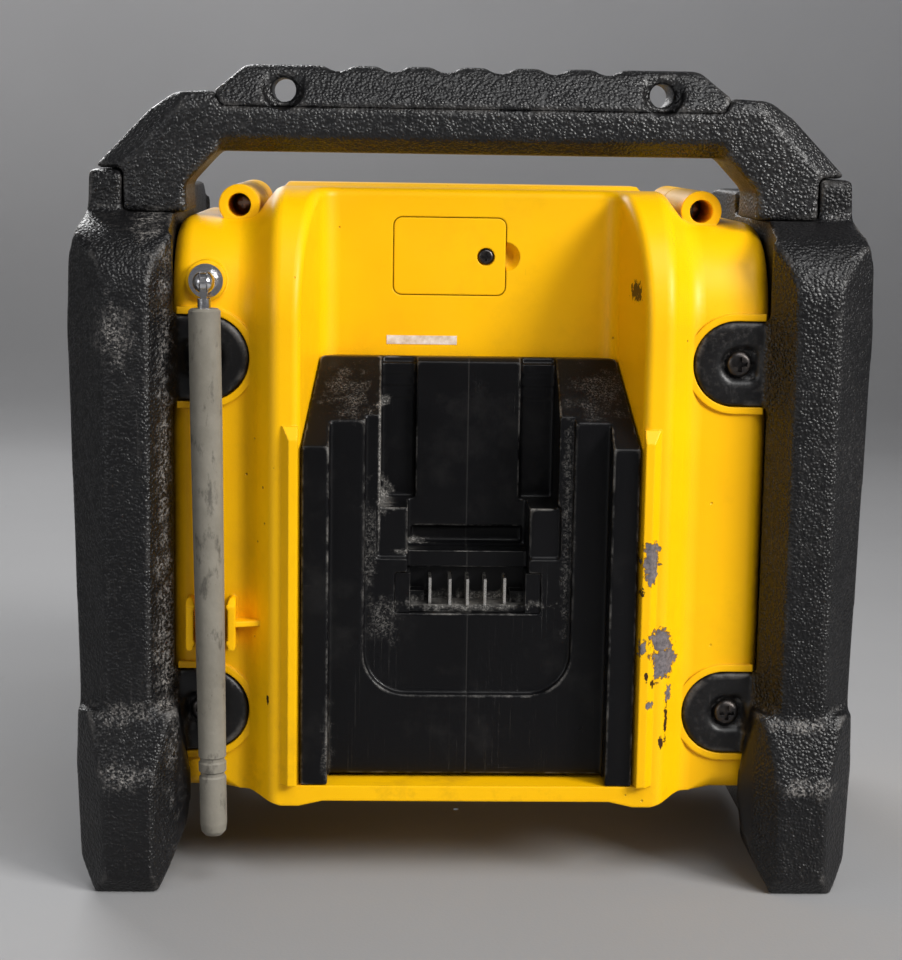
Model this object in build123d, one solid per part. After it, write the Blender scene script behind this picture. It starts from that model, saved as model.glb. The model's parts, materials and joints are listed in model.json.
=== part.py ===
"""Work-site radio with a roll cage: two shells between side cages, a carry handle and a slide-on battery mount.

Millimetres, +Z up, front (speakers and display) facing -Y, battery mount and antenna facing +Y.
The origin is on the ground, under the centre of the object.
"""

from build123d import *
import os
from math import cos, pi, sin

# ---- driving dimensions -------------------------------------------------------------------------
WALL = 3.0  # thickness of the moulded shells
FIT = 0.3  # gap round a piece that drops into a pocket
SPLIT_Y = -5.0  # plane where the two shells meet
GASKET = 1.5  # thickness of the seal between the shells

LOBE_X, LOBE_Y = 98.5, 72.0  # half width and half depth of the body's side lobes
LOBE_BOTTOM, LOBE_TOP = 31.0, 222.4
LOBE_TOP_R, LOBE_CORNER_R = 34.0, 6.0

HUMP_X, HUMP_BASE_X = 65.0, 72.8  # centre block: half width at the crest and where it meets the lobes
HUMP_REAR, HUMP_FRONT = 82.0, -72.0
HUMP_BOTTOM, HUMP_TOP = 28.0, 232.4
HUMP_REAR_R, HUMP_FRONT_R = 44.0, 20.0
HUMP_FAR_X, UNCUT_LOW = 76.0, 10.0
CREST_R, FLANK_R, RIM_R = 5.0, 8.0, 3.0  # rounding of the ridges, their feet and the bay's rim
SCOOP_Y, SCOOP_DEPTH, SCOOP_HALF = 4.0, 8.0, 34.0  # hollow under the handle

BAY_X, BAY_BACK_X, BAY_BACK = 56.3, 50.0, 42.0  # battery bay between the ridges: mouth, back, back wall
BAY_BOTTOM = 35.0
LOW_R = 6.0  # rounding under the lobes
RIB_IN, RIB_TOP, RIB_OUT, RIB_REAR = 56.6, 59.6, 63.0, 85.0
RIB_LOW, RIB_HIGH = 35.5, 156.0

MOUNT_X, MOUNT_TOP_X = 55.6, 52.6  # battery mount: half width, and half width at its top
MOUNT_LOW, MOUNT_PLATE_LOW, MOUNT_HIGH = 35.2, 36.5, 175.7
MOUNT_REAR, MOUNT_FLOOR, MOUNT_PLATE, MOUNT_BACK = 82.0, 72.5, 70.3, 42.3
MOUNT_SLOPE_Z, MOUNT_SLOPE_TOP_Y = 149.2, 48.0
MOUNT_SCREWS = ((-43.0, 50.0), (43.0, 50.0), (-43.0, 135.0), (43.0, 135.0))
BLOCK_IN = 46.5  # inner side of the mount's outer blocks
PLATE_X, PLATE_LOW, PLATE_R = 34.8, 64.0, 14.5
POCKET_X, POCKET_LOW, POCKET_FLOOR = 29.6, 127.3, 50.0
THROAT_X, THROAT_LOW = 20.4, 111.0
LEDGE_LOW, SLOT_HIGH = 110.2, 117.7
PANEL_X, CHANNEL_FLOOR = 17.8, 46.5
TERMINAL_X, TERMINAL_LOW, TERMINAL_HIGH = 24.6, 91.6, 105.4
BLADE_X = (-12.6, -5.9, 0.0, 5.9, 12.6)
BLADE_T, BLADE_LOW, BLADE_HIGH = 0.9, 93.0, 103.0

TAB_X, TAB_R, TAB_T = 87.2, 14.0, 3.0  # rounded tabs that hold the cages to the shells
TAB_Z = (58.5, 177.0)
CAGE_SCREW_X, SCREW_HEAD_R, RIM_X = 88.3, 4.4, 96.6

CAGE_IN, CAGE_LIP = 99.0, 97.0
CAGE_REAR, FOOT_REAR, FOOT_HEEL = 85.5, 92.5, 88.5
RAIL_IN_Y, WINDOW_LOW, WINDOW_HIGH = 54.0, 38.0, 196.0  # side opening of each cage
CAGE_LEDGE, EAR_TOP, CAGE_FRONT_TOP, EAR_IN = 223.5, 237.4, 232.0, 116.0
COLLAR_Y = 57.4  # rear face of the collar round each handle arm

HANDLE_REAR, HANDLE_FRONT = 57.0, 21.0
HANDLE_TOP, HANDLE_UNDER = 272.5, 243.8
HANG_X, HANG_Z, HANG_R = 63.0, 264.2, 4.1
GRIP_PITCH, GRIP_COUNT = 18.0, 6
BEVEL_Z, ARM_BEVEL = 259.3, 6.5  # where the bar starts to slope in, and the bevel of its arms

BOSS_X, BOSS_Z, BOSS_R, BOSS_HOLE_R, BOSS_REAR = 78.0, 226.0, 6.9, 3.9, 46.0
LOW_BOSS_X, LOW_BOSS_Z, LOW_SEAT_Y = 24.0, 46.0, 36.0

ANT_X, ANT_Z, ANT_BALL_Y = 87.0, 202.2, 81.0  # antenna pivot
ANT_BALL_R, ANT_TIP_Z, ANT_TIP_X = 3.4, 17.8, 84.3
WHIP_R_TOP, WHIP_R_TIP, WHIP_TOP_Z = 5.2, 4.5, 193.8
CLIP_LOW, CLIP_HIGH, CLIP_REAR = 80.4, 97.8, 80.0

COVER_X, COVER_Z, COVER_W, COVER_H, COVER_R = 6.85, 209.5, 38.0, 26.0, 2.8
COVER_T, COVER_SCREW_X = 2.4, -5.5
CELL_X, CELL_R, CELL_T = 10.0, 10.0, 3.2

FACE = -72.0  # front face of the shell
PANEL_HALF, PANEL_LOW, PANEL_HIGH = 70.0, 137.0, 206.0  # control panel
PANEL_FRONT = -74.0
LCD_HALF, LCD_LOW, LCD_HIGH = 35.0, 163.0, 199.0
KNOB_X, KNOB_Z, KNOB_R, KNOB_FRONT = 56.0, 182.0, 15.5, -86.0
SHAFT_R = 3.0
BUTTON_Z, BUTTON_W, BUTTON_H, BUTTON_PITCH, BUTTON_COUNT = 149.5, 17.0, 9.0, 25.0, 5
BUTTON_TRAVEL = 1.2
SPEAKER_X, SPEAKER_Z, SPEAKER_R = 52.0, 102.0, 28.0
DOOR_HALF, DOOR_LOW, DOOR_HIGH = 16.5, 64.0, 112.0
HINGE_Y, HINGE_Z, HINGE_R, HINGE_PIN_R = -76.6, 61.2, 2.4, 1.0
GRIP_SPLIT_Z = 258.5
DISPLAY_BOARD_Y = -62.0
DISPLAY_POSTS = ((-62.8, 146.0), (62.8, 146.0), (-62.8, 198.0), (62.8, 198.0))
BOARD_POSTS = ((-52.0, 62.0), (52.0, 62.0), (-52.0, 154.0), (52.0, 154.0))


# ---- helpers ------------------------------------------------------------------------------------
def outline(points):
    """A closed face from (a, b) points."""
    return make_face(Polyline(*points, close=True))


def along_x(sketch, x0, x1):
    """Extrude a sketch drawn in (y, z) from x0 to x1."""
    return extrude(Plane.YZ.offset(x0) * sketch, amount=x1 - x0)


def along_y(sketch, y0, y1):
    """Extrude a sketch drawn in (x, z) from y0 to y1."""
    return extrude(Plane.XZ.offset(-y0) * sketch, amount=-(y1 - y0))


def along_z(sketch, z0, z1):
    """Extrude a sketch drawn in (x, y) from z0 to z1."""
    return extrude(Plane.XY.offset(z0) * sketch, amount=z1 - z0)


def block(x0, x1, y0, y1, z0, z1):
    """A box between two corners."""
    return Pos((x0 + x1) / 2, (y0 + y1) / 2, (z0 + z1) / 2) * Box(x1 - x0, y1 - y0, z1 - z0)


def rod_y(x, z, radius, y0, y1):
    """A cylinder along Y."""
    return along_y(Pos(x, z) * Circle(radius), y0, y1)


def rod_x(y, z, radius, x0, x1):
    """A cylinder along X."""
    return along_x(Pos(y, z) * Circle(radius), x0, x1)


def mirrored(shape):
    """The same shape on the other side of the YZ plane."""
    return mirror(shape, about=Plane.YZ)


def both(shape):
    """A shape and its mirror image, as one."""
    return shape + mirrored(shape)


def rounded_rect(x, z, width, height, radius):
    """A rectangle with rounded corners, centred on (x, z)."""
    return Pos(x, z) * RectangleRounded(width, height, radius)


def save(name, shape):
    """Write one sub-part."""
    export_step(shape, f"parts/{name}.step")
    print(name, len(shape.solids()), round(shape.volume))


# ---- body shells --------------------------------------------------------------------------------
def lobe_block(inset):
    """The wide, low part of the body, shrunk by inset on every side, with its underside still too low."""
    half, depth = LOBE_X - inset, LOBE_Y - inset
    shape = block(-half, half, -depth, depth, UNCUT_LOW, LOBE_TOP - inset)
    shape = fillet(shape.edges().filter_by(Axis.X).group_by(Axis.Z)[-1], LOBE_TOP_R - inset)
    ends = shape.faces().filter_by(Axis.X).edges().filter_by(lambda e: e.center().Z > UNCUT_LOW + 1)
    return fillet(ends, LOBE_CORNER_R - inset)


def fillet_corners(points, radii):
    """A polygon whose corners have the given radii."""
    face = outline(points)
    for point, radius in zip(points, radii):
        if radius > 0:
            corner = min(face.vertices(), key=lambda v: (v.X - point[0]) ** 2 + (v.Y - point[1]) ** 2)
            face = fillet(corner, radius)
    return face


def hump_profile(inset, drop):
    """Side view of the centre block, lowered by drop at the rear and the top."""
    front, rear = HUMP_FRONT + inset, HUMP_REAR - inset - drop
    high = HUMP_TOP - inset - drop
    return fillet_corners(
        [(front, UNCUT_LOW), (rear, UNCUT_LOW), (rear, high), (front, high)],
        [0, 0, HUMP_REAR_R - inset - drop, HUMP_FRONT_R - inset],
    )


def hump_block(inset):
    """The deep centre block, whose flanks slope down into the lobes, shrunk by inset."""
    crest, far = HUMP_X - inset, HUMP_FAR_X - inset
    slope = (HUMP_REAR - LOBE_Y) / (HUMP_BASE_X - HUMP_X)
    full, slim = hump_profile(inset, 0), hump_profile(inset, slope * (HUMP_FAR_X - HUMP_X))
    shape = along_x(full, -crest, crest)
    for sign in (-1, 1):
        ends = [Plane.YZ.offset(sign * crest) * full, Plane.YZ.offset(sign * far) * slim]
        shape += loft(ends, ruled=True)
    return shape


def underside_tool(inset):
    """What is cut away below the body."""
    lobe, corner, middle = LOBE_BOTTOM + inset, HUMP_BOTTOM + inset, HUMP_BOTTOM + 1.8 + inset
    right = [(110, lobe), (HUMP_BASE_X, lobe), (62, corner), (56, corner), (48, middle)]
    left = [(-x, z) for x, z in reversed(right)]
    return along_y(outline([(110, 0)] + right + left + [(-110, 0)]), -100, 100)


def scoop_tool(inset):
    """A cylinder that hollows the top under the handle."""
    radius = (SCOOP_HALF**2 + SCOOP_DEPTH**2) / (2 * SCOOP_DEPTH)
    centre_z = HUMP_TOP - SCOOP_DEPTH + radius
    return rod_x(SCOOP_Y, centre_z, radius + inset, -HUMP_BASE_X - 5, HUMP_BASE_X + 5)


def body_block(inset):
    """Outer or inner form of the whole body."""
    return lobe_block(inset) + hump_block(inset) - underside_tool(inset) - scoop_tool(inset)


def low_round_profile(x, radius):
    """What a rounding of that radius takes off the lobe's lower rear edge, as a face at x."""
    y, z, past = LOBE_Y, LOBE_BOTTOM, 0.5
    with BuildSketch(Plane.YZ.offset(x)) as sketch:
        with BuildLine():
            Polyline((y, z + radius), (y + past, z + radius), (y + past, z - past), (y - radius, z - past), (y - radius, z))
            ThreePointArc((y - radius, z), (y - radius * 0.2929, z + radius * 0.2929), (y, z + radius))
        make_face()
    return sketch.sketch


def low_round_tool():
    """Rounds the lower rear edge of both lobes, starting gently beside the ridge."""
    near, full, far = 76.5, 84.0, 104.0
    tool = loft([low_round_profile(near, 0.5), low_round_profile(full, LOW_R)], ruled=True)
    tool += loft([low_round_profile(full, LOW_R), low_round_profile(far, LOW_R)], ruled=True)
    return both(tool)


def rear_block():
    """The rear half of the body's outer form, with rounded ridges and the battery bay."""
    shape = lobe_block(0) + hump_block(0)
    shape = shape & block(-150, 150, SPLIT_Y + GASKET / 2, 150, 0, 260)
    crests = shape.edges().filter_by(lambda e: abs(abs(e.center().X) - HUMP_X) < 0.1 and e.center().Y > 0)
    shape = fillet(crests.filter_by(lambda e: e.center().Z > UNCUT_LOW + 1), CREST_R)
    feet = shape.edges().filter_by(lambda e: 71 < abs(e.center().X) < 75 and e.center().Y > 0)
    shape = fillet(feet.filter_by(lambda e: e.center().Z > UNCUT_LOW + 1), FLANK_R)
    shape -= underside_tool(0)
    shape -= low_round_tool()
    shape -= scoop_tool(0)
    shape -= bay_tool()
    return fillet(shape.edges().filter_by(on_bay_rim), RIM_R)


def on_bay_rim(edge):
    """True for the edges round the mouth of the battery bay."""
    c = edge.center()
    if abs(c.X) > 57.5 or c.Z < BAY_BOTTOM + 1:
        return False
    if edge.geom_type == GeomType.LINE and edge.length > 150 and abs(c.Y - HUMP_REAR) < 0.1:
        return True
    if c.Y > 43 and c.Z > 200 and edge.geom_type != GeomType.LINE:
        return True
    return abs(c.Y - BAY_BACK) < 0.1 and c.Z > 225


def bay_tool():
    """What is cut from the rear to make the battery bay."""
    mouth_y = HUMP_REAR + 12
    spread = (BAY_X - BAY_BACK_X) / (HUMP_REAR - BAY_BACK)
    mouth_x = BAY_BACK_X + spread * (mouth_y - BAY_BACK)
    plan = outline([(-BAY_BACK_X, BAY_BACK), (BAY_BACK_X, BAY_BACK), (mouth_x, mouth_y), (-mouth_x, mouth_y)])
    plan = fillet(plan.vertices().group_by(Axis.Y)[0], 7.0)
    return along_z(plan, BAY_BOTTOM, HUMP_TOP + 10)


def bay_wall():
    """The wall round the battery bay, before the bay is cut."""
    half = BAY_X + 3.4
    return block(-half, half, BAY_BACK - WALL, HUMP_REAR, HUMP_BOTTOM, HUMP_TOP + 5)


def tab_outline(x_sign, z, radius):
    """The D shape of a cage tab, running out to the side."""
    centre = Pos(x_sign * TAB_X, z) * Circle(radius)
    reach = LOBE_X + 5 - TAB_X
    tail = Pos(x_sign * (TAB_X + reach / 2), z) * Rectangle(reach, 2 * radius)
    return centre + tail


def tab_pockets(y_face, depth, direction):
    """Four D pockets in one face of the body."""
    tool = None
    for sign in (-1, 1):
        for z in TAB_Z:
            cut = along_y(tab_outline(sign, z, TAB_R + FIT), y_face - direction * depth, y_face + direction * 4)
            tool = cut if tool is None else tool + cut
    return tool


def clip_prongs():
    """The two prongs that hold the antenna, with a web to the ridge."""
    middle = (CLIP_LOW + CLIP_HIGH) / 2
    height = CLIP_HIGH - CLIP_LOW
    parts = None
    for x, inward in ((92.2, -1), (78.4, 1)):
        sketch = Pos(x, middle) * RectangleRounded(2.4, height, 1.15)
        for z in (CLIP_LOW + 2.6, CLIP_HIGH - 2.6):
            sketch += Pos(x + inward * 0.45, z) * Circle(1.25)
        prong = along_y(sketch, 66.0, 80.0)
        prong -= along_x(outline([(76.5, CLIP_HIGH + 0.5), (81, CLIP_HIGH + 0.5), (81, CLIP_HIGH - 3.5)]), x - 3, x + 3)
        parts = prong if parts is None else parts + prong
    web = along_z(outline([(78.0, 70.0), (78.0, 78.8), (69.0, 76.6), (69.0, 70.0)]), middle - 0.9, middle + 0.9)
    return parts + web


def rear_shell():
    """Rear moulding: ridges, battery bay, screw bosses, cage pockets, antenna seat and clip."""
    rear = SPLIT_Y + GASKET / 2
    outer = rear_block()
    inner = body_block(WALL) & block(-150, 150, rear - 1, 150, 0, 260)
    inner -= bay_wall()
    pocket_backs = None
    for sign in (-1, 1):
        for z in TAB_Z:
            back = along_y(tab_outline(sign, z, TAB_R + 3), LOBE_Y - TAB_T - 3.2, LOBE_Y)
            pocket_backs = back if pocket_backs is None else pocket_backs + back
    inner -= pocket_backs
    shell = outer - inner
    # raised rim round each cage tab, then the pocket itself
    for sign in (-1, 1):
        for z in TAB_Z:
            rim = along_y(tab_outline(sign, z, TAB_R + 2.6), LOBE_Y - 1, LOBE_Y + 0.9)
            shell += rim & block(-RIM_X, RIM_X, 0, 90, 0, 260)
    shell -= tab_pockets(LOBE_Y, TAB_T, 1)
    # ribs beside the battery mount
    rib_plan = outline([(RIB_IN, HUMP_REAR - 1), (RIB_IN, RIB_REAR), (RIB_TOP, RIB_REAR), (RIB_OUT, HUMP_REAR - 1)])
    rib = along_z(rib_plan, RIB_LOW, RIB_HIGH)
    rib -= along_x(outline([(HUMP_REAR, RIB_HIGH + 1), (RIB_REAR + 1, RIB_HIGH + 1), (RIB_REAR + 1, RIB_HIGH - 6)]), 50, 70)
    shell += both(rib - bay_tool())
    # screw bosses on the top corners
    boss = rod_y(BOSS_X, BOSS_Z, BOSS_R, rear, BOSS_REAR)
    web = block(BOSS_X - BOSS_R, BOSS_X + BOSS_R, rear, BOSS_REAR - 4, LOBE_TOP - WALL, BOSS_Z)
    web = web & block(-150, 150, 0, 32, 0, 260)
    shell += both(boss + web)
    shell -= both(rod_y(BOSS_X, BOSS_Z, BOSS_HOLE_R, 20, BOSS_REAR + 10))
    shell -= both(rod_y(BOSS_X, BOSS_Z, 2.2, rear - 5, 21))
    shell += both(rod_y(LOW_BOSS_X, LOW_BOSS_Z, 6.0, rear, BAY_BACK - WALL + 0.5))
    shell -= both(rod_y(LOW_BOSS_X, LOW_BOSS_Z, BOSS_HOLE_R, LOW_SEAT_Y, BAY_BACK + 1))
    shell -= both(rod_y(LOW_BOSS_X, LOW_BOSS_Z, 2.2, rear - 5, LOW_SEAT_Y + 1))
    # cage screws run into bosses behind the tabs
    for z in TAB_Z:
        shell += both(rod_y(CAGE_SCREW_X, z, 4.2, LOBE_Y - 16, LOBE_Y - TAB_T - 1))
        shell -= both(rod_y(CAGE_SCREW_X, z, 2.1, LOBE_Y - 20, LOBE_Y))
    # antenna seat and clip
    shell += rod_y(ANT_X, ANT_Z, 6.6, 60.0, LOBE_Y + 0.6)
    shell -= rod_y(ANT_X, ANT_Z, 3.3, LOBE_Y - 20, LOBE_Y + 10)
    shell += clip_prongs()
    # coin-cell compartment in the back wall of the bay
    box_x0, box_x1 = COVER_X - COVER_W / 2 - 2.5, COVER_X + COVER_W / 2 + 2.5
    box_z0, box_z1 = COVER_Z - COVER_H / 2 - 2.5, COVER_Z + COVER_H / 2 + 2.5
    shell += block(box_x0, box_x1, BAY_BACK - 12, BAY_BACK - 1, box_z0, box_z1) & body_block(0.4)
    seat = along_y(rounded_rect(COVER_X, COVER_Z, COVER_W + 0.6, COVER_H + 0.6, COVER_R + 0.3), BAY_BACK - COVER_T, BAY_BACK + 5)
    cell_room = along_y(rounded_rect(CELL_X + 1.2, COVER_Z, 26.0, 22.4, 2.0), BAY_BACK - 10.4, BAY_BACK)
    finger = Pos(COVER_X - COVER_W / 2, BAY_BACK + 1.6, COVER_Z) * Sphere(5.2)
    shell -= seat + cell_room + finger
    shell -= rod_y(COVER_SCREW_X, COVER_Z, 1.35, BAY_BACK - 11, BAY_BACK)
    # holes for the mount's screws and its leads
    for x, z in MOUNT_SCREWS:
        shell -= rod_y(x, z, 2.2, BAY_BACK - 6, BAY_BACK + 1)
    shell -= block(-16, 16, BAY_BACK - 6, BAY_BACK + 1, 90, 108)
    for x, z in BOARD_POSTS:
        shell += rod_y(x, z, 3.6, 0, BAY_BACK - WALL + 0.5)
        shell -= rod_y(x, z, 1.4, -1, 10)
    return shell


def front_shell():
    """Front moulding: openings for the panel and speakers, hinge lugs for the port door."""
    front = SPLIT_Y - GASKET / 2
    outer = body_block(0) & block(-150, 150, -150, front, 0, 260)
    inner = body_block(WALL) & block(-150, 150, -150, front + 1, 0, 260)
    for sign in (-1, 1):
        for z in TAB_Z:
            inner -= along_y(tab_outline(sign, z, TAB_R + 3), FACE, FACE + TAB_T + 3.2)
    shell = outer - inner
    shell -= tab_pockets(FACE, TAB_T, -1)
    # seat for the control panel, with a ledge
    middle = (PANEL_LOW + PANEL_HIGH) / 2
    width, height = 2 * PANEL_HALF, PANEL_HIGH - PANEL_LOW
    seat = along_y(rounded_rect(0, middle, width + 2 * FIT, height + 2 * FIT, 8.3), FACE - 3, FACE + 2.0)
    seat += along_y(rounded_rect(0, middle, width - 8, height - 8, 5), FACE - 3, FACE + 8)
    shell -= seat
    for sign in (-1, 1):
        shell -= rod_y(sign * SPEAKER_X, SPEAKER_Z, SPEAKER_R, FACE - 5, FACE + 8)
        shell -= rod_y(sign * SPEAKER_X, SPEAKER_Z, SPEAKER_R + 2.5, FACE - 5, FACE + 1.2)
    # port bay behind the small door
    shell += block(-DOOR_HALF - 0.5, DOOR_HALF + 0.5, FACE + 0.5, FACE + 16, DOOR_LOW + 0.5, DOOR_HIGH - 0.5)
    shell -= block(-DOOR_HALF + 2, DOOR_HALF - 2, FACE - 5, FACE + 13.5, DOOR_LOW + 4, DOOR_HIGH - 4)
    for x in (-13.0, 13.0):
        lug = block(x - 2.4, x + 2.4, HINGE_Y, FACE + 1, HINGE_Z - HINGE_R, HINGE_Z + HINGE_R)
        lug += rod_x(HINGE_Y, HINGE_Z, HINGE_R, x - 2.4, x + 2.4)
        shell += lug
    shell -= rod_x(HINGE_Y, HINGE_Z, HINGE_PIN_R, -15.0, 15.0)
    # screw bosses that meet those of the rear shell
    boss = rod_y(BOSS_X, BOSS_Z, BOSS_R, -40, front)
    web = block(BOSS_X - BOSS_R, BOSS_X + BOSS_R, -32, front, LOBE_TOP - WALL, BOSS_Z)
    shell += both(boss + web)
    shell += both(rod_y(LOW_BOSS_X, LOW_BOSS_Z, 6.0, FACE + WALL - 0.5, front))
    shell -= both(rod_y(BOSS_X, BOSS_Z, 1.8, -34, front + 5))
    shell -= both(rod_y(LOW_BOSS_X, LOW_BOSS_Z, 1.8, -24, front + 5))
    for z in TAB_Z:
        shell += both(rod_y(CAGE_SCREW_X, z, 4.2, FACE + TAB_T + 1, FACE + 16))
        shell -= both(rod_y(CAGE_SCREW_X, z, 2.1, FACE, FACE + 20))
    return shell


def shell_gasket():
    """The seal between the two shells."""
    slab = block(-150, 150, SPLIT_Y - GASKET / 2, SPLIT_Y + GASKET / 2, 0, 260)
    return (body_block(0.5) - body_block(WALL - 0.2)) & slab


# ---- cages and handle ---------------------------------------------------------------------------
def cage_foot(direction):
    """One foot of the +X cage, at the rear (1) or the front (-1)."""
    d = direction
    plan = outline(
        [
            (101, 50 * d),
            (99.2, 73.3 * d),
            (91.5, 76.5 * d),
            (104, FOOT_REAR * d),
            (119.5, FOOT_REAR * d),
            (133, 76 * d),
            (133, 50 * d),
        ]
    )
    side = outline(
        [
            (50 * d, 0),
            (FOOT_HEEL * d, 0),
            (FOOT_REAR * d, 6),
            (FOOT_REAR * d, 37),
            ((CAGE_REAR + 1.2) * d, 57.5),
            ((CAGE_REAR - 1) * d, 61),
            (50 * d, 61),
        ]
    )
    return along_z(plan, 0, 61) & along_x(side, 85, 140)


def side_cage():
    """The cage on the +X side: a loop of two upright rails with a foot under each."""
    ring = fillet_corners(
        [
            (CAGE_REAR, 0),
            (CAGE_REAR, 214),
            (COLLAR_Y, CAGE_LEDGE + 0.6),
            (COLLAR_Y, EAR_TOP),
            (8, EAR_TOP),
            (-10, CAGE_FRONT_TOP),
            (-CAGE_REAR, CAGE_FRONT_TOP),
            (-CAGE_REAR, 0),
            (-50, 0),
            (-44, 14),
            (44, 14),
            (50, 0),
        ],
        [0, 24, 2, 3, 8, 6, 30, 0, 0, 4, 4, 0],
    )
    window = fillet_corners(
        [
            (-RAIL_IN_Y, WINDOW_LOW),
            (RAIL_IN_Y, WINDOW_LOW),
            (RAIL_IN_Y, WINDOW_HIGH),
            (-RAIL_IN_Y, WINDOW_HIGH),
        ],
        [16, 16, 26, 26],
    )
    plan = outline(
        [
            (CAGE_IN, -73),
            (CAGE_LIP, -74),
            (105, -CAGE_REAR - 0.01),
            (118.7, -CAGE_REAR - 0.01),
            (133, -72),
            (133, 72),
            (118.7, CAGE_REAR + 0.01),
            (105, CAGE_REAR + 0.01),
            (CAGE_LIP, 74),
            (CAGE_IN, 73),
        ]
    )
    cage = along_x(ring, 90, 140) & along_z(plan, -5, 245)
    cage += cage_foot(1) + cage_foot(-1)
    cage -= along_x(window, 80, 150)
    # outline seen from the front
    face = outline(
        [
            (103, -1),
            (123.2, -1),
            (123.5, 0),
            (128.5, 10),
            (130, 42),
            (129, 66),
            (132.2, 186),
            (131.5, 209),
            (127.2, 225),
            (126.4, 240),
            (97, 240),
            (97, 64),
            (91.3, 34),
            (93.7, 20),
            (99, 7),
        ]
    )
    face = fillet(face.vertices().filter_by(lambda v: 100 < v.Y < 226 and v.X > 120), 20.0)
    cage = cage & along_y(face, -100, 100)
    cage -= block(90, EAR_IN, -10, 100, CAGE_LEDGE, 260)
    for z in TAB_Z:
        for direction in (-1, 1):
            near, far = sorted((direction * (LOBE_Y - TAB_T), direction * (LOBE_Y + 1.4)))
            tab = along_y(Pos(TAB_X, z) * Circle(TAB_R) + Pos(TAB_X + 8, z) * Rectangle(16, 2 * TAB_R), near, far)
            cage += tab
            near, far = sorted((direction * (LOBE_Y - 1.0), direction * (LOBE_Y + 5)))
            recess = Pos(CAGE_SCREW_X, z) * Circle(6.0) + Pos(CAGE_SCREW_X + 3, z) * Rectangle(6, 12)
            cage -= along_y(recess, near, far)
            cage -= rod_y(CAGE_SCREW_X, z, 2.1, -80, 80)
    for y in (30.0, 48.0):
        cage -= Pos(105, y, 0) * along_z(Circle(4.6), 180, 202)
        cage -= Pos(105, y, 0) * along_z(Circle(2.2), 180, 240)
    return cage


def handle_block():
    """The whole handle before it is split into its two halves."""
    right = [
        (85, HANDLE_UNDER, 3),
        (95, 233, 3),
        (94.5, CAGE_LEDGE, 0),
        (EAR_IN - 0.4, CAGE_LEDGE, 0),
        (EAR_IN - 0.4, EAR_TOP + 0.3, 0),
        (126.2, EAR_TOP + 0.3, 0),
        (107.5, 257.0, 6),
        (99, 262.8, 8),
        (85.5, 263.6, 7),
        (75.5, HANDLE_TOP, 6),
    ]
    left = [(-x, z, r) for x, z, r in reversed(right)]
    points = right + left
    face = fillet_corners([(x, z) for x, z, r in points], [r for x, z, r in points])
    bar = along_y(face, HANDLE_FRONT, HANDLE_REAR)
    side = fillet_corners(
        [
            (HANDLE_FRONT - 0.01, 215),
            (HANDLE_REAR + 0.01, 215),
            (HANDLE_REAR + 0.01, BEVEL_Z),
            (HANDLE_REAR - 8.5, HANDLE_TOP + 0.01),
            (HANDLE_FRONT + 8.5, HANDLE_TOP + 0.01),
            (HANDLE_FRONT - 0.01, BEVEL_Z),
        ],
        [0, 0, 6, 5, 5, 6],
    )
    bar = bar & along_x(side, -140, 140)
    # bevels along the sloping arms
    for y, out in ((HANDLE_REAR, 1), (HANDLE_FRONT, -1)):
        plane = Plane(origin=(116.85 - ARM_BEVEL * 0.718, y, 247.35 - ARM_BEVEL * 0.696), x_dir=(0.696, 0, -0.718), z_dir=(0.718, out, 0.696))
        bar -= both(plane * Pos(0, 0, 15) * Box(90, 60, 30))
    # bevels under the bar
    for y, inward in ((HANDLE_REAR, -1), (HANDLE_FRONT, 1)):
        bevel = outline([(y - inward, HANDLE_UNDER - 8), (y + inward * 8, HANDLE_UNDER - 2), (y - inward, HANDLE_UNDER + 6)])
        bar -= along_x(bevel, -84, 84)
    # finger scallops
    for i in range(GRIP_COUNT):
        x = (i - (GRIP_COUNT - 1) / 2) * GRIP_PITCH
        bar -= rod_y(x, HANDLE_TOP + 5.0, 7.0, 0, 80)
        for y, turn in ((HANDLE_REAR - 3, -46.6), (HANDLE_FRONT + 3, 46.6)):
            bar -= Pos(x, y, HANDLE_TOP + 1.2) * Rot(turn, 0, 0) * Pos(0, 0, 0.5) * Rot(90, 0, 0) * Cylinder(5.0, 14)
    # hanging holes with their open recesses
    for sign in (-1, 1):
        bar -= rod_y(sign * HANG_X, HANG_Z, HANG_R, 0, 80)
        for y0, y1 in ((HANDLE_REAR - 7, 80), (0, HANDLE_FRONT + 7)):
            bar -= rod_y(sign * HANG_X, HANG_Z, 6.6, y0, y1)
            bar -= block(sign * HANG_X - 6.6, sign * HANG_X + 6.6, y0, y1, HANG_Z, 290)
    for x in (-105.0, 105.0):
        for y in (30.0, 48.0):
            bar -= Pos(x, y, 0) * along_z(Circle(1.9), 215, 239)
    return bar


def grip_region():
    """Where the separate grip piece sits: the middle of the bar, above its parting line."""
    return along_y(outline([(-83.5, GRIP_SPLIT_Z), (83.5, GRIP_SPLIT_Z), (92, 275), (-92, 275)]), 0, 80)


def handle_frame():
    """The bar and its two arms, without the grip."""
    return handle_block() - grip_region()


def handle_grip():
    """The grip piece with its finger scallops and hanging holes."""
    return handle_block() & grip_region()


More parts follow.
